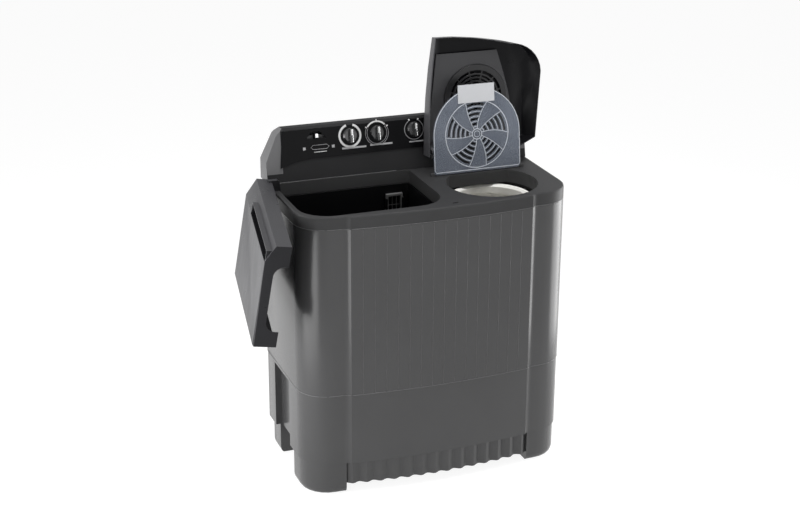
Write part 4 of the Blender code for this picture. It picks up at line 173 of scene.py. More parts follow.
class Wire:
    """The output of a shader node, used like a number or a vector."""

    def __init__(self, tree, socket):
        self.tree = tree
        self.socket = socket

    def node(self, kind, settings=None, inputs=None, output=0):
        """Makes a node of a kind, sets and links it, and returns one of its outputs."""
        made = self.tree.nodes.new(kind)
        for name, value in (settings or {}).items():
            setattr(made, name, value)
        for name, value in (inputs or {}).items():
            if isinstance(value, Wire):
                self.tree.links.new(value.socket, made.inputs[name])
            else:
                made.inputs[name].default_value = value
        return Wire(self.tree, made.outputs[output])

    def maths(self, operation, *values, clamp=False):
        """The result of a Math node on some values."""
        settings = {"operation": operation, "use_clamp": clamp}
        return self.node("ShaderNodeMath", settings, dict(enumerate(values)))

    def __add__(self, other):
        return self.maths("ADD", self, other)

    def __radd__(self, other):
        return self.maths("ADD", other, self)

    def __sub__(self, other):
        return self.maths("SUBTRACT", self, other)

    def __rsub__(self, other):
        return self.maths("SUBTRACT", other, self)

    def __mul__(self, other):
        return self.maths("MULTIPLY", self, other)

    def __rmul__(self, other):
        return self.maths("MULTIPLY", other, self)

    def __lt__(self, other):
        return self.maths("LESS_THAN", self, other)

    def __gt__(self, other):
        return self.maths("GREATER_THAN", self, other)

    def __abs__(self):
        return self.maths("ABSOLUTE", self)

    def clamped(self):
        """The value, kept between 0 and 1."""
        return self.maths("ADD", self, 0, clamp=True)

    def highest(self, other):
        """The larger of this value and another."""
        return self.maths("MAXIMUM", self, other)

    def ramp(self, low, high):
        """0 below low, 1 above high and a smooth step between."""
        inputs = {"Value": self, "From Min": low, "From Max": high}
        return self.node("ShaderNodeMapRange", {"interpolation_type": "SMOOTHSTEP"}, inputs)

    def vector(self, operation, *values, output=0):
        """Vector maths on this vector and others."""
        settings = {"operation": operation}
        return self.node("ShaderNodeVectorMath", settings, dict(enumerate((self, *values))), output)

    def parts(self):
        """The x, y and z of a vector."""
        first = self.node("ShaderNodeSeparateXYZ", None, {"Vector": self})
        outputs = first.socket.node.outputs
        return [Wire(self.tree, outputs[k]) for k in range(3)]

    def blend(self, low, high):
        """Mixes two colours by this value: low at 0 and high at 1."""
        mixed = self.tree.nodes.new("ShaderNodeMix")
        mixed.data_type = "RGBA"
        self.tree.links.new(self.socket, mixed.inputs["Factor"])
        for slot, colour in (("A", low), ("B", high)):
            socket = [s for s in mixed.inputs if s.name == slot and s.type == "RGBA"][0]
            if isinstance(colour, Wire):
                self.tree.links.new(colour.socket, socket)
            else:
                socket.default_value = (*colour, 1)
        return Wire(self.tree, [s for s in mixed.outputs if s.type == "RGBA"][0])


print("Wire is ready")

# %% [markdown]
# ## A finish, step by step
#
# Moulded plastic and sprayed steel are never one flat colour. Each finish here starts from
# the piece's own coordinates in metres, so that grain is as large as on the real thing:
#
# - broad, faint clouds in the colour, as pigment and handling leave them,
# - a fine grain in the bump: orange peel on paint, spark texture on plastic,
# - uneven gloss, because a wiped surface is never evenly clean,
# - edges that catch light, because no moulded edge is sharp, and that rub paler with use.
#
# A picture of plastic wrapped round the piece could show all this, but it would stretch and
# repeat, and it would belong to one piece only. Noise in the material fits any shape.

# %% The Finish class


class Finish:
    """A material with the usual wires at hand."""

    def __init__(self, name, roughness=0.4, metallic=0.0, coat=0.0, specular=0.5):
        self.material = bpy.data.materials.new(name)
        self.material.use_nodes = True
        self.tree = self.material.node_tree
        self.shader = self.tree.nodes["Principled BSDF"]
        self.shader.inputs["Roughness"].default_value = roughness
        self.shader.inputs["Metallic"].default_value = metallic
        self.shader.inputs["Coat Weight"].default_value = coat
        self.shader.inputs["Coat Roughness"].default_value = 0.06
        self.shader.inputs["Specular IOR Level"].default_value = specular
        start = self.tree.nodes.new("ShaderNodeTexCoord")
        self.place = Wire(self.tree, start.outputs["Object"])
        self.x, self.y, self.z = self.place.parts()

    def noise(self, per_metre, detail=2, stretch=None):
        """Soft noise with about that many bumps in a metre."""
        at = self.place if stretch is None else self.place.vector("MULTIPLY", stretch)
        inputs = {"Vector": at, "Scale": per_metre, "Detail": detail}
        return at.node("ShaderNodeTexNoise", None, inputs)

    def edges(self, radius=0.0012):
        """The rounded normal, and how much of an edge a point is."""
        soft = self.place.node("ShaderNodeBevel", {"samples": 4}, {"Radius": radius})
        flat = self.place.node("ShaderNodeNewGeometry", output="True Normal")
        aligned = soft.vector("DOT_PRODUCT", flat, output="Value")
        return soft, (1 - aligned).ramp(0.03, 0.25)

    def facing(self):
        """The x, y and z of the direction that the surface faces."""
        return self.place.node("ShaderNodeNewGeometry", output="Normal").parts()

    def link(self, wire, socket):
        """Lets a wire drive a socket of the shader."""
        self.tree.links.new(wire.socket, self.shader.inputs[socket])
        return self

    def bump(self, height, distance, soft=None):
        """Pushes the surface out by height times distance, in metres."""
        inputs = {"Height": height, "Distance": distance, "Strength": 1.0}
        if soft is not None:
            inputs["Normal"] = soft
        self.link(self.place.node("ShaderNodeBump", None, inputs), "Normal")
        return self


print("Finish is ready")

# %% [markdown]
# ## Plastic and metal
#
# Two recipes cover most pieces. Moulded plastic has clouds, a spark-textured skin and edges
# rubbed paler. Bare metal has its colour and its gloss broken up by one fine noise, which is
# stretched along an axis where the piece was turned or brushed. A material made by hand for
# each piece would look no better, and two functions keep the pieces alike in kind.

# %% Plastic and metal


def tint(colour, factor, lift=0.0):
    """A colour made lighter or darker."""
    return tuple(min(1.0, value * factor + lift) for value in colour)


def clouds(finish, colour, spread=0.10, per_metre=5):
    """The colour with faint clouds, about a hand long unless told otherwise."""
    mottle = finish.noise(per_metre, 3).ramp(0.3, 0.7)
    return mottle.blend(tint(colour, 1 - spread), tint(colour, 1 + spread))


def plastic(name, colour, roughness=0.4, grain=0.00004, grain_size=900, wear=0.35, spread=0.10,
            specular=0.5, smears=0.12):
    """Moulded plastic with a spark-textured skin and edges rubbed a little paler."""
    finish = Finish(name, roughness, specular=specular)
    soft, edge = finish.edges()
    rub = edge * finish.noise(60).ramp(0.35, 0.6) * wear
    finish.link(rub.blend(clouds(finish, colour, spread), tint(colour, 1.7, 0.02)), "Base Color")
    uneven = finish.noise(14, 3) * smears + (roughness - smears / 2)
    finish.link(uneven.clamped(), "Roughness")
    finish.bump(finish.noise(grain_size, 2), grain, soft)
    return finish


def metal(name, colour, roughness=0.3, stretch=(1, 1, 1), grain_size=400, grain=0.00003):
    """Bare metal, brushed along the axis where stretch is small."""
    finish = Finish(name, roughness, metallic=1.0)
    soft, edge = finish.edges(0.0008)
    brushed = finish.noise(grain_size, 3, stretch)
    shade = brushed.ramp(0.3, 0.7) * 0.8 + edge * 0.2
    finish.link(shade.blend(tint(colour, 0.75), tint(colour, 1.2, 0.04)), "Base Color")
    finish.link((brushed * 0.2 + (roughness - 0.1)).clamped(), "Roughness")
    finish.bump(brushed, grain, soft)
    return finish


print("plastic and metal are ready")

# %% [markdown]
# ## Skins
#
# The solid model arrives as flat facets. A rounded corner of the cabinet is a row of flat
# strips, which is enough for a machine tool but not for an eye. Shading the solids smooth as
# they are would smear the light over their sharp edges too. Each piece therefore gets a skin:
# the same surface with its facets welded together, flat neighbours merged, and every edge that
# bends less than a real crease shaded smooth. The shape isn't moved at all, so the skin stands
# exactly where the solid does and rides on the same body.

# %% Skins over the solids
WELD = 0.00001
FLAT_ANGLE = math.radians(0.3)
CREASE = math.radians(33)
SHELL_CREASE = math.radians(21)

BODY_OF = {node: body for body, group in frame["record"]["behaviour"]["bodies"].items() for node in group}
SKINNED = set()


def new_object(name, work):
    """Turns a bmesh into an object of the scene."""
    mesh = bpy.data.meshes.new(name)
    work.to_mesh(mesh)
    work.free()
    made = bpy.data.objects.new(name, mesh)
    bpy.context.scene.collection.objects.link(made)
    return made


def skin(name, finish, crease):
    """Puts a smooth-shaded skin over a node, and dresses it."""
    surface = bmesh.new()
    surface.from_mesh(NODES[name].data)
    bmesh.ops.remove_doubles(surface, verts=surface.verts, dist=WELD)
    bmesh.ops.dissolve_limit(surface, angle_limit=FLAT_ANGLE, verts=surface.verts, edges=surface.edges)
    for face in surface.faces:
        face.smooth = True
    for edge in surface.edges:
        edge.smooth = len(edge.link_faces) == 2 and edge.calc_face_angle(0) < crease
    piece = new_object(name + "_skin", surface)
    piece.data.materials.append(finish.material)
    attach(piece, BODY_OF[name])
    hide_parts(name)
    SKINNED.add(name)


def dress(finish, *names, crease=CREASE):
    """Skins several nodes in one finish."""
    for name in names:
        skin(name, finish, crease)
    print(finish.material.name, "on", ", ".join(names))


print("skins are ready for", len(BODY_OF), "nodes")

# %% [markdown]
# ## Flat work: prints, ticks, thin trims
#
# A screen print is a film of ink about a tenth of a millimetre thick, and a moulded line is a
# little more. Both are made the same way here: a path is given a width and a thickness and
# laid on a surface by a rule that turns (across, along, out) into a place. A thin closed
# solid casts and catches light as the real print does.

# %% Ribbons and plates


def circle(u, v, radius, start=0.0, end=360.0, steps=48):
    """Points on an arc, without the last one when it is a whole turn."""
    whole = abs(end - start) >= 360
    count = steps if whole else steps + 1
    turns = [math.radians(start + (end - start) * k / steps) for k in range(count)]
    return [(u + radius * math.cos(t), v + radius * math.sin(t)) for t in turns]


def ribbon(path, width, closed=False):
    """A strip of that width along a path."""
    return {"path": path, "width": width, "closed": closed}


def plate(outline):
    """A filled convex outline."""
    return {"outline": outline}


def bar(u0, v0, u1, v1):
    """A filled rectangle between two corners."""
    return plate([(u0, v0), (u1, v0), (u1, v1), (u0, v1)])


def add_plate(mesh, outline, put, thick):
    below = [mesh.verts.new(put(u, v, 0)) for u, v in outline]
    above = [mesh.verts.new(put(u, v, thick)) for u, v in outline]
    mesh.faces.new(above)
    mesh.faces.new(below[::-1])
    for k in range(len(outline)):
        n = (k + 1) % len(outline)
        mesh.faces.new((below[k], below[n], above[n], above[k]))


def add_ribbon(mesh, path, width, closed, put, thick):
    rows = []
    count = len(path)
    for k, (u, v) in enumerate(path):
        before = path[k - 1] if closed or k else path[0]
        after = path[(k + 1) % count] if closed or k < count - 1 else path[-1]
        du, dv = after[0] - before[0], after[1] - before[1]
        size = math.hypot(du, dv)
        nu, nv = -dv / size * width / 2, du / size * width / 2
        left, right = (u + nu, v + nv), (u - nu, v - nv)
        corners = ((*left, thick), (*right, thick), (*right, 0), (*left, 0))
        rows.append([mesh.verts.new(put(*corner)) for corner in corners])
    for k in range(count if closed else count - 1):
        here, there = rows[k], rows[(k + 1) % count]
        for c in range(4):
            d = (c + 1) % 4
            mesh.faces.new((here[c], there[c], there[d], here[d]))
    if not closed:
        mesh.faces.new(rows[0][::-1])
        mesh.faces.new(rows[-1])


def add_piece(name, work, body, finish):
    """Turns finished bmesh work into a piece that rides on a body."""
    bmesh.ops.recalc_face_normals(work, faces=work.faces)
    piece = new_object(name, work)
    piece.data.materials.append(finish.material)
    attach(piece, body)
    print(name, len(piece.data.polygons), "faces on", body)


def lay(name, shapes, put, body, finish, thick):
    """Makes one piece of many ribbons and plates on a surface."""
    work = bmesh.new()
    for shape in shapes:
        if "outline" in shape:
            add_plate(work, shape["outline"], put, thick)
        else:
            add_ribbon(work, shape["path"], shape["width"], shape["closed"], put, thick)
    add_piece(name, work, body, finish)


def tree_of(node):
    """A node's faces, sorted so that rays can be cast at them."""
    mesh = NODES[node].data
    return BVHTree.FromPolygons([v.co for v in mesh.vertices], [p.vertices for p in mesh.polygons])


print("ribbons and plates are ready")

# %% [markdown]
# ## The cabinet, the deck and the housing
#
# The cabinet is dark grey plastic with a satin skin. The deck and the control housing are the
# same plastic in other greys: the deck is darker on top, which is painted shade, and the
# housing is pale at its ends, which is a painted highlight, dark below the panel and black
# above it. Separate materials for each face would do, but then every border is a hard line.
# One finish with layers was chosen. A layer is a grey and a rule that says where it lies, by
# its place or by the way that the surface faces.

# %% Shell finishes
SHELL_GREY = (0.047, 0.047, 0.048)
DECK_GREY = (0.056, 0.056, 0.057)
# The deck's top gets a darker grey: painted shade where it looks up.
DECK_TOP_SHADE_GREY = (0.030, 0.030, 0.031)
HOUSING_GREY = (0.022, 0.022, 0.023)
# The housing's pale grey is a painted highlight on its two ends.
HOUSING_END_HIGHLIGHT_GREY = (0.150, 0.150, 0.154)
HOUSING_TOP_GREY = (0.005, 0.005, 0.006)
HOUSING_BAND_Z = 0.9765
HOUSING_BAND_X = 0.343
HOUSING_STRIP_X = 0.351
HOUSING_STRIP_Z = 0.862
COVER_GREY = (0.10, 0.10, 0.105)
LAYER_ROUGHER = 0.15


def layered(name, colour, layers, roughness):
    """Shell plastic in several greys: a layer is a grey, how much rougher it is and where it lies."""
    finish = Finish(name, roughness, specular=0.1)
    soft, edge = finish.edges(0.0014)
    body = clouds(finish, colour, 0.06)
    gloss_loss = finish.noise(12, 3) * 0.06 + (roughness - 0.06)
    for grey, rougher, where in layers:
        here = where(finish)
        body = here.blend(body, clouds(finish, grey, 0.08))
        gloss_loss = gloss_loss + here * rougher
    rub = edge * finish.noise(45).ramp(0.3, 0.6) * 0.4
    finish.link(rub.blend(body, tint(DECK_GREY, 1.5)), "Base Color")
    finish.link(gloss_loss.clamped(), "Roughness")
    finish.bump(finish.noise(1000, 2), 0.00004, soft)
    return finish


def on_deck_top_shade(finish):
    """1 where the deck looks up, where its top is painted darker as shade."""
    return finish.facing()[2].ramp(0.85, 0.98)


def on_housing_highlight_and_strips(finish):
    """1 on the housing's two ends, painted pale as a highlight, and on the strips of its face beside the
    panel in the same pale grey.
    """
    side = abs(finish.facing()[0]).ramp(0.3, 0.7)
    strip = (abs(finish.x - SHIFT.x) > HOUSING_STRIP_X) * (finish.z > HOUSING_STRIP_Z)
    return side.highest(strip)


def on_housing_face(finish):
    """1 wherever the housing isn't pale."""
    return 1 - on_housing_highlight_and_strips(finish)


def on_housing_top(finish):
    """1 on the black band above the panel."""
    return (finish.z > HOUSING_BAND_Z) * (abs(finish.x - SHIFT.x) < HOUSING_BAND_X)


shell = plastic("shell_satin", SHELL_GREY, 0.25, 0.00002, 1000, spread=0.04, smears=0.03)
deck = layered("deck_satin", DECK_GREY, [(DECK_TOP_SHADE_GREY, LAYER_ROUGHER, on_deck_top_shade)], 0.42)
housing_layers = [(HOUSING_GREY, LAYER_ROUGHER, on_housing_face), (HOUSING_TOP_GREY, 0.0, on_housing_top)]
housing = layered("housing_satin", HOUSING_END_HIGHLIGHT_GREY, housing_layers, 0.40)
cover_paint = plastic("cover_paint", COVER_GREY, 0.5, 0.00006, 450, spread=0.06)
dress(shell, "cabinet", "base", crease=SHELL_CREASE)
dress(deck, "top_deck", crease=SHELL_CREASE)
dress(housing, "control_housing")
dress(cover_paint, "service_cover", "housing_back")

# %% [markdown]
# ## Reeds on the front
#
# The front carries narrow upright lines, about two fingers apart, which break up the large
# area. They could be a bump in the material, which shows nothing from the side. On
# the real machine they are low reeds in the moulding, so each is a real ridge here. Rays are
# cast on to the bowed front, so that every reed follows the bow.

# %% Reeds
REED_PITCH = 0.0335
REED_COUNT = 15
REED_WIDTH = 0.0018
REED_RISE = 0.00035
REED_SINK = 0.0002
REED_LOW = 0.3125
REED_HIGH = 0.7955
REED_MIDDLE = (REED_LOW + REED_HIGH) / 2
REED_PROFILE = ((-0.5, -REED_SINK), (-0.2, REED_RISE), (0.2, REED_RISE), (0.5, -REED_SINK))
RAY_START = 1
BACKWARD = Vector((0, 1, 0))

front_tree = tree_of("cabinet")


def front_at(x):
    """How far forward the cabinet's skin is, half way up the reeds."""
    hit = front_tree.ray_cast(place(x, -RAY_START, REED_MIDDLE), BACKWARD)
    return hit[0].y - SHIFT.y


def add_reed(mesh, x):
    rows = []
    for z in (REED_LOW, REED_HIGH):
        row = []
        for across, out in REED_PROFILE:
            at = x + across * REED_WIDTH
            row.append(mesh.verts.new(place(at, front_at(at) - out, z)))
        rows.append(row)
    for k in range(4):
        n = (k + 1) % 4
        mesh.faces.new((rows[0][k], rows[0][n], rows[1][n], rows[1][k]))
    mesh.faces.new(rows[0][::-1])
    mesh.faces.new(rows[1])


work = bmesh.new()
for k in range(REED_COUNT):
    add_reed(work, (k - (REED_COUNT - 1) / 2) * REED_PITCH)
# The reeds are a paler grey than the shell: a painted highlight along each ridge.
reed_highlight_satin = plastic("reed_highlight_satin", tint(SHELL_GREY, 1.5), 0.3, 0.00001, 1500, spread=0.04)
add_piece("front_reeds", work, "machine", reed_highlight_satin)

# %% [markdown]
# ## Beads on the seams
#
# The deck's skirt ends in a small rounded lip over the cabinet, and the cabinet's lower edge
# hangs over the base. Both catch the light as a thin line all the way round. A ray is cast at
# the shell from every side to find its outline there, and a thin bead is laid along it in a
# paler grey, which is a painted highlight of that line. The same line of light runs along the
# foot of the control housing, behind the wash tub's mouth, and gets the same painted bead.

# %% Seam beads
BEAD_RAYS = 288
BEAD_WIDTH = 0.0011
BEAD_HEIGHT = 0.0016
# Each bead's node, the height of its outline and the height of its foot.
SEAMS = {"deck_bead": ("top_deck", 0.8035, 0.7992), "cabinet_bead": ("cabinet", 0.3100, 0.3091)}
LEDGE_LEFT = -0.375
LEDGE_RIGHT = -0.012
LEDGE_PROBE_X = -0.2
LEDGE_DEPTH = 0.0012
LEDGE_SINK = 0.0002
LEDGE_HEIGHT = 0.0014


def outline_of(node, z):
    """The outline of a shell at a height, as (x, y) points of the machine's drawing."""
    tree = tree_of(node)
    points = []
    for k in range(BEAD_RAYS):
        turn = 2 * math.pi * k / BEAD_RAYS
        outward = Vector((math.cos(turn), math.sin(turn), 0))
        hit = tree.ray_cast(place(0, 0, z) + outward * 2 * RAY_START, -outward)[0]
        points.append((hit.x - SHIFT.x, hit.y - SHIFT.y))
    return points


# The beads are a paler grey than the shell: a painted highlight along each seam.
seam_highlight_satin = plastic("seam_highlight_satin", tint(SHELL_GREY, 2.4), 0.3, 0.00001, 1500, spread=0.04)
for bead, (node, seam_z, foot_z) in SEAMS.items():
    line = ribbon(outline_of(node, seam_z), BEAD_WIDTH, True)
    lay(bead, [line], lambda u, v, out, z=foot_z: place(u, v, z + out), "machine", seam_highlight_satin, BEAD_HEIGHT)

probe_start = place(LEDGE_PROBE_X, -RAY_START, DECK_TOP + LEDGE_DEPTH)
foot_y = tree_of("control_housing").ray_cast(probe_start, BACKWARD)[0].y - SHIFT.y
ledge = bar(LEDGE_LEFT, foot_y - LEDGE_DEPTH, LEDGE_RIGHT, foot_y + LEDGE_SINK)
lay("ledge_bead", [ledge], lambda u, v, out: place(u, v, DECK_TOP + out), "machine", seam_highlight_satin, LEDGE_HEIGHT)
print("the housing's foot is at", round(foot_y, 4))

# %% [markdown]
# ## Lids
#
# The wash lid and the spin lid are thick smoked plastic, glossier than the cabinet. Their
# gloss sits on a slightly uneven surface, which is what tells a moulding from glass. A truly
# clear material would be slow and would show the inside of the moulding, so the smoke is a
# dark opaque colour. The wash lid turns darker on its faces that look forward and towards its
# lower end, which is painted shade; the spin lid is darker on all but its left wing. The spin
# lid's inner cover and its round vent are plain dark plastic with a fine spark texture.

# %% Lid finishes
LID_SMOKE = (0.038, 0.038, 0.042)
# The wash lid's dark grey is painted shade on its forward faces and its lower end.
LID_DARK = (0.012, 0.012, 0.014)
LID_FADE_Z = 0.62
LID_FADE = 0.12
SPIN_LID_SMOKE = (0.084, 0.084, 0.090)
SPIN_LID_DARK = (0.006, 0.006, 0.007)
SPIN_LID_SPLIT_X = 0.10
SPIN_LID_FADE = 0.03
INNER_DARK = (0.048, 0.048, 0.051)
GRILLE_DARK = (0.018, 0.018, 0.019)


def smoked(name, light, dark, specular, where):
    """Glossy smoked plastic in a light and a dark grey, with the dark one where the where rule puts it."""
    finish = Finish(name, 0.3, specular=specular)
    soft, edge = finish.edges(0.0016)
    body = where(finish).blend(clouds(finish, light, 0.08, 3), clouds(finish, dark, 0.08, 3))
    finish.link((edge * 0.6).blend(body, tint(light, 2.2)), "Base Color")
    wiped = finish.noise(9, 4, (1, 3, 1)) * 0.16 + 0.22
    finish.link(wiped.clamped(), "Roughness")
    finish.bump(finish.noise(1200, 2), 0.00002, soft)
    return finish


def on_lid_shade(finish):
    """1 where shade is painted on the wash lid: its faces that look forward, and towards its lower end."""
    forward = (0 - finish.facing()[1]).ramp(0.45, 0.8)
    return forward.highest((LID_FADE_Z - finish.z).ramp(0.0, LID_FADE))


def on_spin_lid_right(finish):
    """1 on all of the spin lid but its left wing."""
    return (finish.x - place(SPIN_LID_SPLIT_X, 0, 0).x).ramp(0.0, SPIN_LID_FADE)


smoke = smoked("lid_smoke", LID_SMOKE, LID_DARK, 0.2, on_lid_shade)
spin_smoke = smoked("spin_lid_smoke", SPIN_LID_SMOKE, SPIN_LID_DARK, 0.10, on_spin_lid_right)
inner_dark = plastic("lid_inner_dark", INNER_DARK, 0.34, 0.00005, 800, specular=0.3)
dress(smoke, "wash_lid")
dress(spin_smoke, "spin_lid")
dress(inner_dark, "spin_lid_inner")
dress(plastic("grille_dark", GRILLE_DARK, 0.3, 0.00003, 900, specular=0.35), "vent_grille")

# %% [markdown]
# ## The clear safety lid
#
# Under the spin lid lies a thin clear cover with a fan of slots. It is milky rather than
# clear, so what is behind it shows through as a dark blue grey. Glass with refraction would be
# too clean for it. A part-transparent surface does better: the share that is opaque is larger
# at the thick rim.

# %% Safety lid
FROST = (0.20, 0.23, 0.29)
FROST_RIM = (0.60, 0.65, 0.73)

frost = Finish("safety_frost", 0.25, specular=0.4)
soft, edge = frost.edges(0.001)
milky = (edge * 0.6 + frost.noise(7, 3).ramp(0.3, 0.7) * 0.15).clamped()
frost.link(milky.blend(FROST, FROST_RIM), "Base Color")
frost.link((milky * 0.5 + 0.42).clamped(), "Alpha")
frost.link((frost.noise(20, 3) * 0.2 + 0.15).clamped(), "Roughness")
frost.bump(frost.noise(500, 2), 0.00005, soft)
dress(frost, "safety_lid")

# %% [markdown]
# ## Ribs of the safety lid
#
# The real lid is stiffened by thin moulded ribs: one round its border, one round the fan, one
# along each side of a blade, and short arcs between the slots. They catch the light as white
# lines, so they are coloured white, which is a painted highlight on real ribs. A material could
# draw them, but a line that is drawn doesn't swing with the light, so they are laid on as thin
# ribbons that ride with the lid.

# %% Safety ribs
SAFETY_HINGE = (0.050, DECK_TOP + 0.0070)
SAFETY_OPEN = math.radians(97)
SAFETY_UNDER = -0.0045
SAFETY_X = 0.206
SAFETY_REACH = 0.104
SAFETY_HALF = 0.134
DISC_RADIUS = 0.095
HUB_RADIUS = 0.016
BLADES = 5
BLADE_TURN = 104.5
BLADE_SWEEP = -14.5
BLADE_HALF = 20.0
BLADE_HALF_ROOT = 17.0
BLADE_STEPS = 8
SLOTS = 5
SLOT_PITCH = (DISC_RADIUS - HUB_RADIUS) / (SLOTS + 0.5)
SLOT_START_SHARE = 0.7
SLOT_TURN_SHARE = 0.2
SLOT_BACK = 0.0035
SLOT_SPARE_TURN = 1.5
# The round ribs: radius, width and how many points.
ROUND_RIBS = ((DISC_RADIUS + 0.0022, 0.0024, 72), (HUB_RADIUS - 0.001, 0.0022, 32),
              (HUB_RADIUS * 0.55, 0.0014, 24))
BLADE_RIB = 0.0016
SLOT_RIB = 0.0013
BORDER_RIB = 0.0022
RIB_THICK = 0.00022
BORDER_INSET = 0.0012
BORDER_FOOT = 0.0015
BORDER_BEND = 0.008
BORDER_CHAMFER = 0.006


def on_safety(u, v, out):
    """A point on the underside of the open safety lid: u across, v away from the hinge."""
    across, reach, height = SAFETY_X + u, v, SAFETY_UNDER - out
    y = -reach * math.cos(SAFETY_OPEN) + height * math.sin(SAFETY_OPEN)
    z = reach * math.sin(SAFETY_OPEN) + height * math.cos(SAFETY_OPEN)
    return place(across, SAFETY_HINGE[0] + y, SAFETY_HINGE[1] + z)


def half_blade(share):
    """Half of a blade's angle, at a share of the way from the hub to the ring."""
    return BLADE_HALF_ROOT + (BLADE_HALF - BLADE_HALF_ROOT) * share


def blade_line(middle, side):
    """The curved border of a blade from the hub to the ring."""
    points = []
    for k in range(BLADE_STEPS + 1):
        share = k / BLADE_STEPS
        radius = HUB_RADIUS + (DISC_RADIUS - HUB_RADIUS) * share
        turn = math.radians(middle + side * half_blade(share) + BLADE_SWEEP * share)
        points.append((radius * math.cos(turn), SAFETY_REACH + radius * math.sin(turn)))
    return points


def slot_line(middle, k):
    """The arc under a blade's slot k, counted from the hub."""
    radius = HUB_RADIUS + SLOT_PITCH * (k + SLOT_START_SHARE) - SLOT_BACK
    share = (k + SLOT_TURN_SHARE) / SLOTS
    half = half_blade(share) - SLOT_SPARE_TURN
    turn = middle + BLADE_SWEEP * share
    return circle(0, SAFETY_REACH, radius, turn - half, turn + half, 8)


ribs = [ribbon(circle(0, SAFETY_REACH, radius, steps=steps), width, True)
        for radius, width, steps in ROUND_RIBS]
for blade in range(BLADES):
    middle = BLADE_TURN + 360 / BLADES * blade
    ribs += [ribbon(blade_line(middle, side), BLADE_RIB) for side in (-1, 1)]
    ribs += [ribbon(slot_line(middle, k), SLOT_RIB) for k in range(SLOTS)]
half_width = SAFETY_HALF - BORDER_INSET
half_foot = SAFETY_HALF - BORDER_CHAMFER
border = circle(0, SAFETY_REACH, half_width, 0, 180, 40)
border += [(-half_width, BORDER_BEND), (-half_foot, BORDER_FOOT)]
border += [(half_foot, BORDER_FOOT), (half_width, BORDER_BEND)]
ribs.append(ribbon(border, BORDER_RIB, True))
# The ribs' pale colour is a painted highlight for the light that they catch.
rib_highlight_white = plastic("rib_highlight_white", (0.62, 0.65, 0.70), 0.3, 0.00002, 900, spread=0.06)
lay("safety_ribs", ribs, on_safety, "safety_lid", rib_highlight_white, RIB_THICK)

# %% [markdown]
# ## The label
#
# A paper label hangs over the rim of the safety lid. The real one is printed small and close.
# Here it is bare, so what shows is the paper: a faint lengthwise fibre that drives both the
# shade and the bump, and a sheen that is a little uneven.

# %% Label
PAPER = (0.58, 0.59, 0.61)
PAPER_FIBRE = (0.66, 0.67, 0.69)

label = Finish("label_paper", 0.45, specular=0.4)
soft, edge = label.edges(0.0005)
fibre = label.noise(700, 3, (1, 1, 3)).ramp(0.3, 0.7)
label.link(fibre.blend(PAPER, PAPER_FIBRE), "Base Color")
label.link((label.noise(30) * 0.2 + 0.35).clamped(), "Roughness")
label.bump(fibre, 0.00002, soft)
dress(label, "safety_tag")

# %% [markdown]
# ## The tubs
#
# The wash tub is dark plastic and its mouth is deep, so almost nothing of it shows but a soft
# sheen on the rear wall. The spin basket is pale plastic, and the balance ring round its mouth
# is the one bright shape inside the machine. All take the plain plastic recipe: what tells
# them apart is the shade and how large the spark texture is.

# %% Tubs, basket and filter
tub_dark = plastic("tub_dark", (0.004, 0.004, 0.0045), 0.30, 0.00004, 600, specular=0.15)
ivory = plastic("basket_ivory", (0.86, 0.85, 0.81), 0.35, 0.00003, 700, spread=0.04, wear=0.2)
filter_dark = plastic("filter_dark", (0.12, 0.12, 0.12), 0.45, 0.00003, 900, specular=0.2)
dress(tub_dark, "wash_tub", "spin_tub", "filter_holder")
dress(ivory, "spin_basket", "balance_ring")
dress(filter_dark, "lint_filter")
dress(plastic("pulsator_pale", (0.42, 0.42, 0.41), 0.4, 0.00005, 500), "pulsator")

# %% [markdown]
# ## Holes of the basket
#
# The wall of a spin basket is drilled all over, so that the water leaves it. Two hundred and
# seventy real holes would cost more faces than the rest of the machine. Each is a thin dark
# disc on the inside of the wall instead, in rows that are staggered as the real ones are. The
# dark of each disc is painted shade, in place of the dark that shows through a hole.

# %% Basket holes
HOLE_RADIUS = 0.0019
HOLE_COLUMNS = 30
HOLE_ROWS = 9
HOLE_THICK = 0.00015
SPIN_CENTRE = (0.206, -0.054)
BASKET_INSIDE = 0.1182
BASKET_LOW = 0.500
BASKET_HIGH = 0.740
DEGREES_PER_METRE = math.degrees(1 / BASKET_INSIDE)


def on_basket(u, v, out):
    """A point on the inside wall of the basket: u in degrees, v up, out towards the middle."""
    turn = math.radians(u)
    reach = BASKET_INSIDE - out
    return place(SPIN_CENTRE[0] + reach * math.cos(turn), SPIN_CENTRE[1] + reach * math.sin(turn), v)


holes = []
for row in range(HOLE_ROWS):
    height = BASKET_LOW + (BASKET_HIGH - BASKET_LOW) * row / (HOLE_ROWS - 1)
    for column in range(HOLE_COLUMNS):
        turn = 360 / HOLE_COLUMNS * (column + (row % 2) / 2)
        rim = [(turn + u * DEGREES_PER_METRE, height + v) for u, v in circle(0, 0, HOLE_RADIUS, steps=8)]
        holes.append(plate(rim))
# The hole discs are painted shade, in place of the dark seen through a hole.
hole_shade_dark = plastic("hole_shade_dark", (0.010, 0.010, 0.010), 0.6, 0.00002, 900)
lay("basket_holes", holes, on_basket, "spin_rotor", hole_shade_dark, HOLE_THICK)

# %% [markdown]
# ## The control panel
#
# The panel is a black glossy plate. Black gloss shows only what it mirrors, so its mirror is
# kept weak and slightly wavy, as pressed plastic is. A coat over a matt base would be another
# way, but it mirrors the white room too strongly for this panel.

# %% Panel gloss
PANEL_BLACK = (0.0045, 0.0045, 0.0052)
PANEL_EDGE = (0.05, 0.05, 0.055)

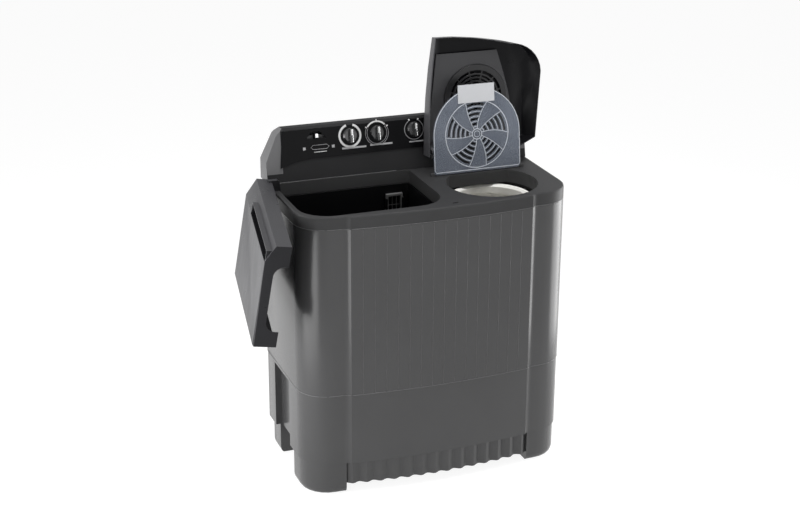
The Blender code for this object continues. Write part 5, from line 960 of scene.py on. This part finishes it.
gloss = Finish("panel_gloss", 0.12, specular=0.04)
soft, edge = gloss.edges(0.001)
gloss.link((edge * 0.5).blend(clouds(gloss, PANEL_BLACK, 0.15), PANEL_EDGE), "Base Color")
gloss.link((gloss.noise(16, 4) * 0.14 + 0.06).clamped(), "Roughness")
gloss.bump(gloss.noise(40, 2), 0.00008, soft)
dress(gloss, "control_panel")

# %% [markdown]
# ## Prints on the panel
#
# The prints are white and grey rings, ticks and bars. The words of the real one are left out,
# and plain bars stand in their places. Each print is laid on the slope by its place along it,
# up it and out of it. Real film on the plate keeps its sharp edge at any distance, where a
# picture on the panel would blur.

# %% Panel prints
DIAL_S = 0.115
WASH_X = -0.146
SELECTOR_X = -0.064
SPIN_TIMER_X = 0.050
INK = 0.00012
# Rings: the dial's x, radius, angles of both ends, points and width.
WHITE_RINGS = ((WASH_X, 0.0315, 108, 431.99, 64, 0.0062), (SELECTOR_X, 0.0335, 42, 145, 24, 0.0045))
GREY_RINGS = ((SELECTOR_X, 0.0350, 150, 398, 48, 0.0016), (SELECTOR_X, 0.0300, 150, 398, 48, 0.0016),
              (SPIN_TIMER_X, 0.0290, 122, 418, 56, 0.0022))
# Ticks: the dial's x, their angles, inner and outer reach and width.
TICKS = ((SELECTOR_X, (-60, 0, 60), 0.0335, 0.0395, 0.0035), (SPIN_TIMER_X, (-26, 26), 0.0285, 0.034, 0.0042))
# Bars in the places of words: left, foot, right and top.
WHITE_BAR = (-0.256, 0.0768, -0.218, 0.0788)
PALE_BARS = ((-0.172, 0.0775, -0.099, 0.0825), (-0.087, 0.0795, -0.019, 0.0842),
             (0.033, 0.0780, 0.083, 0.0815))
BADGE_X = (-0.2845, -0.198)
BADGE_HALF = 0.004
BADGE_LOW = 0.086
BADGE_HIGH = 0.094
# The outline of the lever's sign: its middle, and half of its length, of its flat and its height.
SIGN_X = -0.2375
SIGN_S = 0.0915
SIGN_HALF = 0.0275
SIGN_FLAT = 0.0205
SIGN_RISE = 0.006
SIGN_LINE = 0.0011

ink_white = plastic("ink_white", (0.72, 0.72, 0.72), 0.45, 0.00002, 1500, spread=0.05)
ink_grey = plastic("ink_grey", (0.26, 0.26, 0.27), 0.45, 0.00002, 1500, spread=0.05)
ink_pale = plastic("ink_pale", (0.42, 0.42, 0.43), 0.45, 0.00002, 1500, spread=0.05)


def print_on_face(u, v, out):
    return on_face(u, v, FACE_SKIN + out)


def ring(u, radius, start, end, steps, width):
    """A ring of a dial, or a part of it."""
    return ribbon(circle(u, DIAL_S, radius, start, end, steps), width)


def tick(u, turn, inner, outer, width):
    """A short radial line of a dial, at an angle clockwise from straight up."""
    a = math.radians(90 - turn)
    ends = [(u + reach * math.cos(a), DIAL_S + reach * math.sin(a)) for reach in (inner, outer)]
    return ribbon(ends, width)


white_marks = [ring(*sizes) for sizes in WHITE_RINGS]
white_marks += [tick(u, turn, *sizes) for u, turns, *sizes in TICKS for turn in turns]
white_marks.append(bar(*WHITE_BAR))
grey_marks = [ring(*sizes) for sizes in GREY_RINGS]
pale_marks = [bar(*corners) for corners in PALE_BARS]
pale_marks += [bar(x - BADGE_HALF, BADGE_LOW, x + BADGE_HALF, BADGE_HIGH) for x in BADGE_X]
sign = [(-SIGN_HALF, 0), (-SIGN_FLAT, SIGN_RISE), (SIGN_FLAT, SIGN_RISE),
        (SIGN_HALF, 0), (SIGN_FLAT, -SIGN_RISE), (-SIGN_FLAT, -SIGN_RISE)]
pale_marks.append(ribbon([(SIGN_X + u, SIGN_S + v) for u, v in sign], SIGN_LINE, True))
lay("print_white", white_marks, print_on_face, "machine", ink_white, INK)
lay("print_grey", grey_marks, print_on_face, "machine", ink_grey, INK)
lay("print_pale", pale_marks, print_on_face, "machine", ink_pale, INK)

# %% [markdown]
# ## Knobs and lever
#
# The knobs are black and glossy, and each has a white pointer and a thin bright trim on its
# crown, which turn with it. The inlet lever is one piece with the dark fan behind its slot,
# and only its grip is silver. Height above the panel's face tells the two apart, so one
# material serves the whole lever, and it stays right as the lever swings.

# %% Knobs and lever
KNOB_BLACK = (0.014, 0.014, 0.015)
KNOB_EDGE = (0.10, 0.10, 0.105)
LEVER_SILVER = (0.60, 0.60, 0.61)
LEVER_DARK = (0.006, 0.006, 0.006)
GRIP_RISE = (0.001, 0.0016)
POINTER = (-0.0020, 0.002, 0.0022, 0.0185)
TRIM = (0.0026, -0.0185, 0.0040, 0.0185)
POINTER_THICK = 0.00025
KNOBS = {"wash_timer": (WASH_X, "wash_timer_knob"), "selector": (SELECTOR_X, "selector_knob"),
         "spin_timer": (SPIN_TIMER_X, "spin_timer_knob")}

knob_black = Finish("knob_black", 0.22, coat=0.2, specular=0.45)
soft, edge = knob_black.edges(0.0009)
knob_black.link(edge.blend(clouds(knob_black, KNOB_BLACK, 0.15, 30), KNOB_EDGE), "Base Color")
knob_black.link((knob_black.noise(60, 3) * 0.2 + 0.12).clamped(), "Roughness")
knob_black.bump(knob_black.noise(1300, 2), 0.00003, soft)
dress(knob_black, "wash_timer_knob", "selector_knob", "spin_timer_knob")

silver = metal("lever_silver", LEVER_SILVER, 0.28, (1, 1, 6), 900)
face_level = on_face(0, 0, FACE_SKIN).dot(FACE_OUT)
rise = silver.place.vector("DOT_PRODUCT", FACE_OUT, output="Value") - face_level
raised = rise.ramp(*GRIP_RISE)
silver.link(raised.blend(LEVER_DARK, LEVER_SILVER), "Base Color").link(raised, "Metallic")
silver.shader.inputs["Specular IOR Level"].default_value = 0.04
dress(silver, "inlet_lever")

chrome = metal("pointer_chrome", (0.80, 0.80, 0.81), 0.2, (1, 1, 1), 700)
face_start = on_face(0, 0)
for body, (x, node) in KNOBS.items():
    crown = max((v.co - face_start).dot(FACE_OUT) for v in NODES[node].data.vertices)

    def on_crown(u, v, out, x=x, crown=crown):
        return on_face(x + u, DIAL_S + v, crown + out)

    lay(body + "_pointer", [bar(*POINTER)], on_crown, body, ink_white, POINTER_THICK)
    lay(body + "_trim", [bar(*TRIM)], on_crown, body, chrome, POINTER_THICK)

# %% [markdown]
# ## Behind and below
#
# Nobody photographs the back, but a good part is finished there too. The service cover and the
# housing's back are held by pan-head screws. Each head is a small turned dome with a dished
# middle, made by one function and set down where the covers' edges are.

# %% Screws
SCREW_RADIUS = 0.0038
SCREW_RISE = 0.0011
SCREW_SIDES = 16
# Rings of a head: how far out and how far up, as shares of its radius and its rise.
SCREW_SHARES = ((1.0, 0.0), (0.96, 0.55), (0.72, 0.92), (0.40, 1.0))
SCREW_DISH_SHARE = 0.45
COVER_SCREW_INSET = 0.007
COVER_SCREW_LOW = 0.337
COVER_SCREW_HIGH = 0.713
BACK_SCREW_INSET = 0.045
BACK_SCREW_RISE = 0.009
BACK_SCREW_SHARES = (-1, -0.33, 0.33, 1)
zinc = metal("screw_zinc", (0.50, 0.50, 0.48), 0.35, (1, 1, 1), 900)


def add_screw(mesh, x, y, z):
    """A pan-head screw whose axis is y, with its seat at that place."""
    rings = []
    for reach, rise in SCREW_SHARES:
        outline = circle(0, 0, SCREW_RADIUS * reach, steps=SCREW_SIDES)
        rings.append([mesh.verts.new(place(x + u, y + SCREW_RISE * rise, z + v)) for u, v in outline])
    for low, high in zip(rings, rings[1:]):
        for k in range(SCREW_SIDES):
            n = (k + 1) % SCREW_SIDES
            mesh.faces.new((low[k], low[n], high[n], high[k]))
    mesh.faces.new(rings[0][::-1])
    middle = mesh.verts.new(place(x, y + SCREW_RISE * SCREW_DISH_SHARE, z))
    for k in range(SCREW_SIDES):
        mesh.faces.new((rings[-1][k], rings[-1][(k + 1) % SCREW_SIDES], middle))


def screw_heads(name, places):
    heads = bmesh.new()
    for x, y, z in places:
        add_screw(heads, x, y, z)
    add_piece(name, heads, "machine", zinc)


cover_low, cover_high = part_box("service_cover")
cover_y = cover_high.y - SHIFT.y
left = cover_low.x - SHIFT.x + COVER_SCREW_INSET
right = cover_high.x - SHIFT.x - COVER_SCREW_INSET
middle_z = (COVER_SCREW_LOW + COVER_SCREW_HIGH) / 2
edge_columns = (left, (left + right) / 2, right)
spots = [(x, cover_y, z) for x in edge_columns for z in (COVER_SCREW_LOW, COVER_SCREW_HIGH)]
spots += [(x, cover_y, middle_z) for x in (left, right)]
screw_heads("cover_screws", spots)

back_low, back_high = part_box("housing_back")
back_y = back_high.y - SHIFT.y
back_middle = (back_low.x + back_high.x) / 2 - SHIFT.x
half_back = (back_high.x - back_low.x) / 2 - BACK_SCREW_INSET
back_z = back_low.z + BACK_SCREW_RISE
spots = [(back_middle + share * half_back, back_y, back_z) for share in BACK_SCREW_SHARES]
screw_heads("housing_screws", spots)

# %% [markdown]
# ## Rubber, metals and the plastics inside
#
# What the shell hides gets its real finish as well, because the mouths, the slots and an open
# cover show parts of it: black rubber under the feet, cast aluminium on motors and pulleys,
# turned steel on shafts, zinc-plated sheet on brackets, and the pale and grey plastics of
# switches, hoses and valves. The two recipes from above do all of them.

# %% Inside finishes
rubber = plastic("rubber_black", (0.014, 0.014, 0.014), 0.75, 0.00012, 700, wear=0.25, specular=0.3)
cast = metal("cast_aluminium", (0.36, 0.37, 0.38), 0.5, (1, 1, 1), 500, 0.00012)
turned_steel = metal("turned_steel", (0.50, 0.50, 0.51), 0.28, (1, 1, 12), 500)
zinc_plate = metal("zinc_plate", (0.46, 0.47, 0.48), 0.4, (1, 1, 1), 60, 0.00002)
pale = plastic("pale_plastic", (0.45, 0.45, 0.43), 0.45, 0.00005, 700)
hose_grey = plastic("hose_grey", (0.13, 0.13, 0.135), 0.5, 0.00004, 900)
valve_grey = plastic("valve_grey", (0.20, 0.20, 0.21), 0.45, 0.00005, 700)
blue = plastic("plug_blue", (0.07, 0.14, 0.26), 0.45, 0.00004, 800)
outlet_dark = plastic("outlet_dark", (0.028, 0.028, 0.030), 0.45, 0.00005, 800)
dress(rubber, "foot_pad_1", "foot_pad_2", "foot_pad_3", "foot_pad_4", "shaft_seal", "cord_gland",
      "motor_damper_1", "motor_damper_2", "motor_damper_3", "drive_belt")
dress(cast, "wash_motor", "spin_motor", "gear_case", "brake_drum", "gear_pulley", "motor_pulley")
dress(turned_steel, "drive_shaft", "spin_shaft", "spin_lid_pin_left", "spin_lid_pin_right", "brake_lever")
dress(zinc_plate, "drive_bracket", "motor_plate")
dress(pale, "wash_timer_body", "selector_body", "spin_timer_body", "water_inlet", "motor_capacitor")
dress(hose_grey, "wash_drain_hose", "spin_drain_hose")
dress(valve_grey, "drain_valve", "valve_cap")
dress(blue, "drain_plug")
dress(outlet_dark, "drain_outlet", "water_diverter")
print("nodes without a skin:", sorted(set(NODES) - SKINNED))

# %% [markdown]
# ## The room
#
# A catalogue picture has a white ground. Only what the camera sees, straight, in a mirror or
# through clear plastic, is made white. The light that falls on the machine stays at a plain
# level, so that colours come out as they are written. Stronger lamps would whiten the ground
# too, but they would wash out the machine with it.

# %% World
SEEN_BY = ("Is Camera Ray", "Is Glossy Ray", "Is Transmission Ray")
ROOM_LEVEL = 0.28


def on_show(tree):
    """1 for a ray that the camera, a mirror or clear plastic sends out, and 0 for light itself."""
    rays = tree.nodes.new("ShaderNodeLightPath")
    camera_ray, glossy_ray, clear_ray = [Wire(tree, rays.outputs[name]) for name in SEEN_BY]
    return camera_ray.highest(glossy_ray).highest(clear_ray)


world = bpy.data.worlds.new("room")
bpy.context.scene.world = world
world.use_nodes = True
room = world.node_tree
seen = on_show(room)
strength = seen + (1 - seen) * ROOM_LEVEL
backdrop = room.nodes["Background"]
backdrop.inputs["Color"].default_value = (1, 1, 1, 1)
room.links.new(strength.socket, backdrop.inputs["Strength"])
bpy.context.scene.view_settings.view_transform = "Standard"
print("room at", ROOM_LEVEL)

# %% [markdown]
# ## The floor
#
# The floor is part paper, part glow. The paper takes a soft shadow under the base, and the
# glow lifts the rest of it to the white of the backdrop, so no horizon shows. It is stage and
# not part of the machine.

# %% Floor
FLOOR_REACH = 14
FLOOR_WHITE = (0.80, 0.80, 0.80)
FLOOR_ROUGHNESS = 0.9
GLOW_SHARE = 0.72
GLOW = 1.24

corners = [(x * FLOOR_REACH, y * FLOOR_REACH, 0) for x, y in ((-1, -1), (1, -1), (1, 1), (-1, 1))]
floor_mesh = bpy.data.meshes.new("floor")
floor_mesh.from_pydata(corners, [], [(0, 1, 2, 3)])
floor = bpy.data.objects.new("floor", floor_mesh)
bpy.context.scene.collection.objects.link(floor)
paper = bpy.data.materials.new("floor_paper")
paper.use_nodes = True
tree = paper.node_tree
matt = tree.nodes["Principled BSDF"]
matt.inputs["Base Color"].default_value = (*FLOOR_WHITE, 1)
matt.inputs["Roughness"].default_value = FLOOR_ROUGHNESS
matt.inputs["Specular IOR Level"].default_value = 0.0
glow = tree.nodes.new("ShaderNodeEmission")
glow.inputs["Strength"].default_value = GLOW
mixed = tree.nodes.new("ShaderNodeMixShader")
tree.links.new((on_show(tree) * GLOW_SHARE).socket, mixed.inputs["Fac"])
tree.links.new(matt.outputs[0], mixed.inputs[1])
tree.links.new(glow.outputs[0], mixed.inputs[2])
tree.links.new(mixed.outputs[0], tree.nodes["Material Output"].inputs["Surface"])
floor_mesh.materials.append(paper)
print("floor", 2 * FLOOR_REACH, "m wide")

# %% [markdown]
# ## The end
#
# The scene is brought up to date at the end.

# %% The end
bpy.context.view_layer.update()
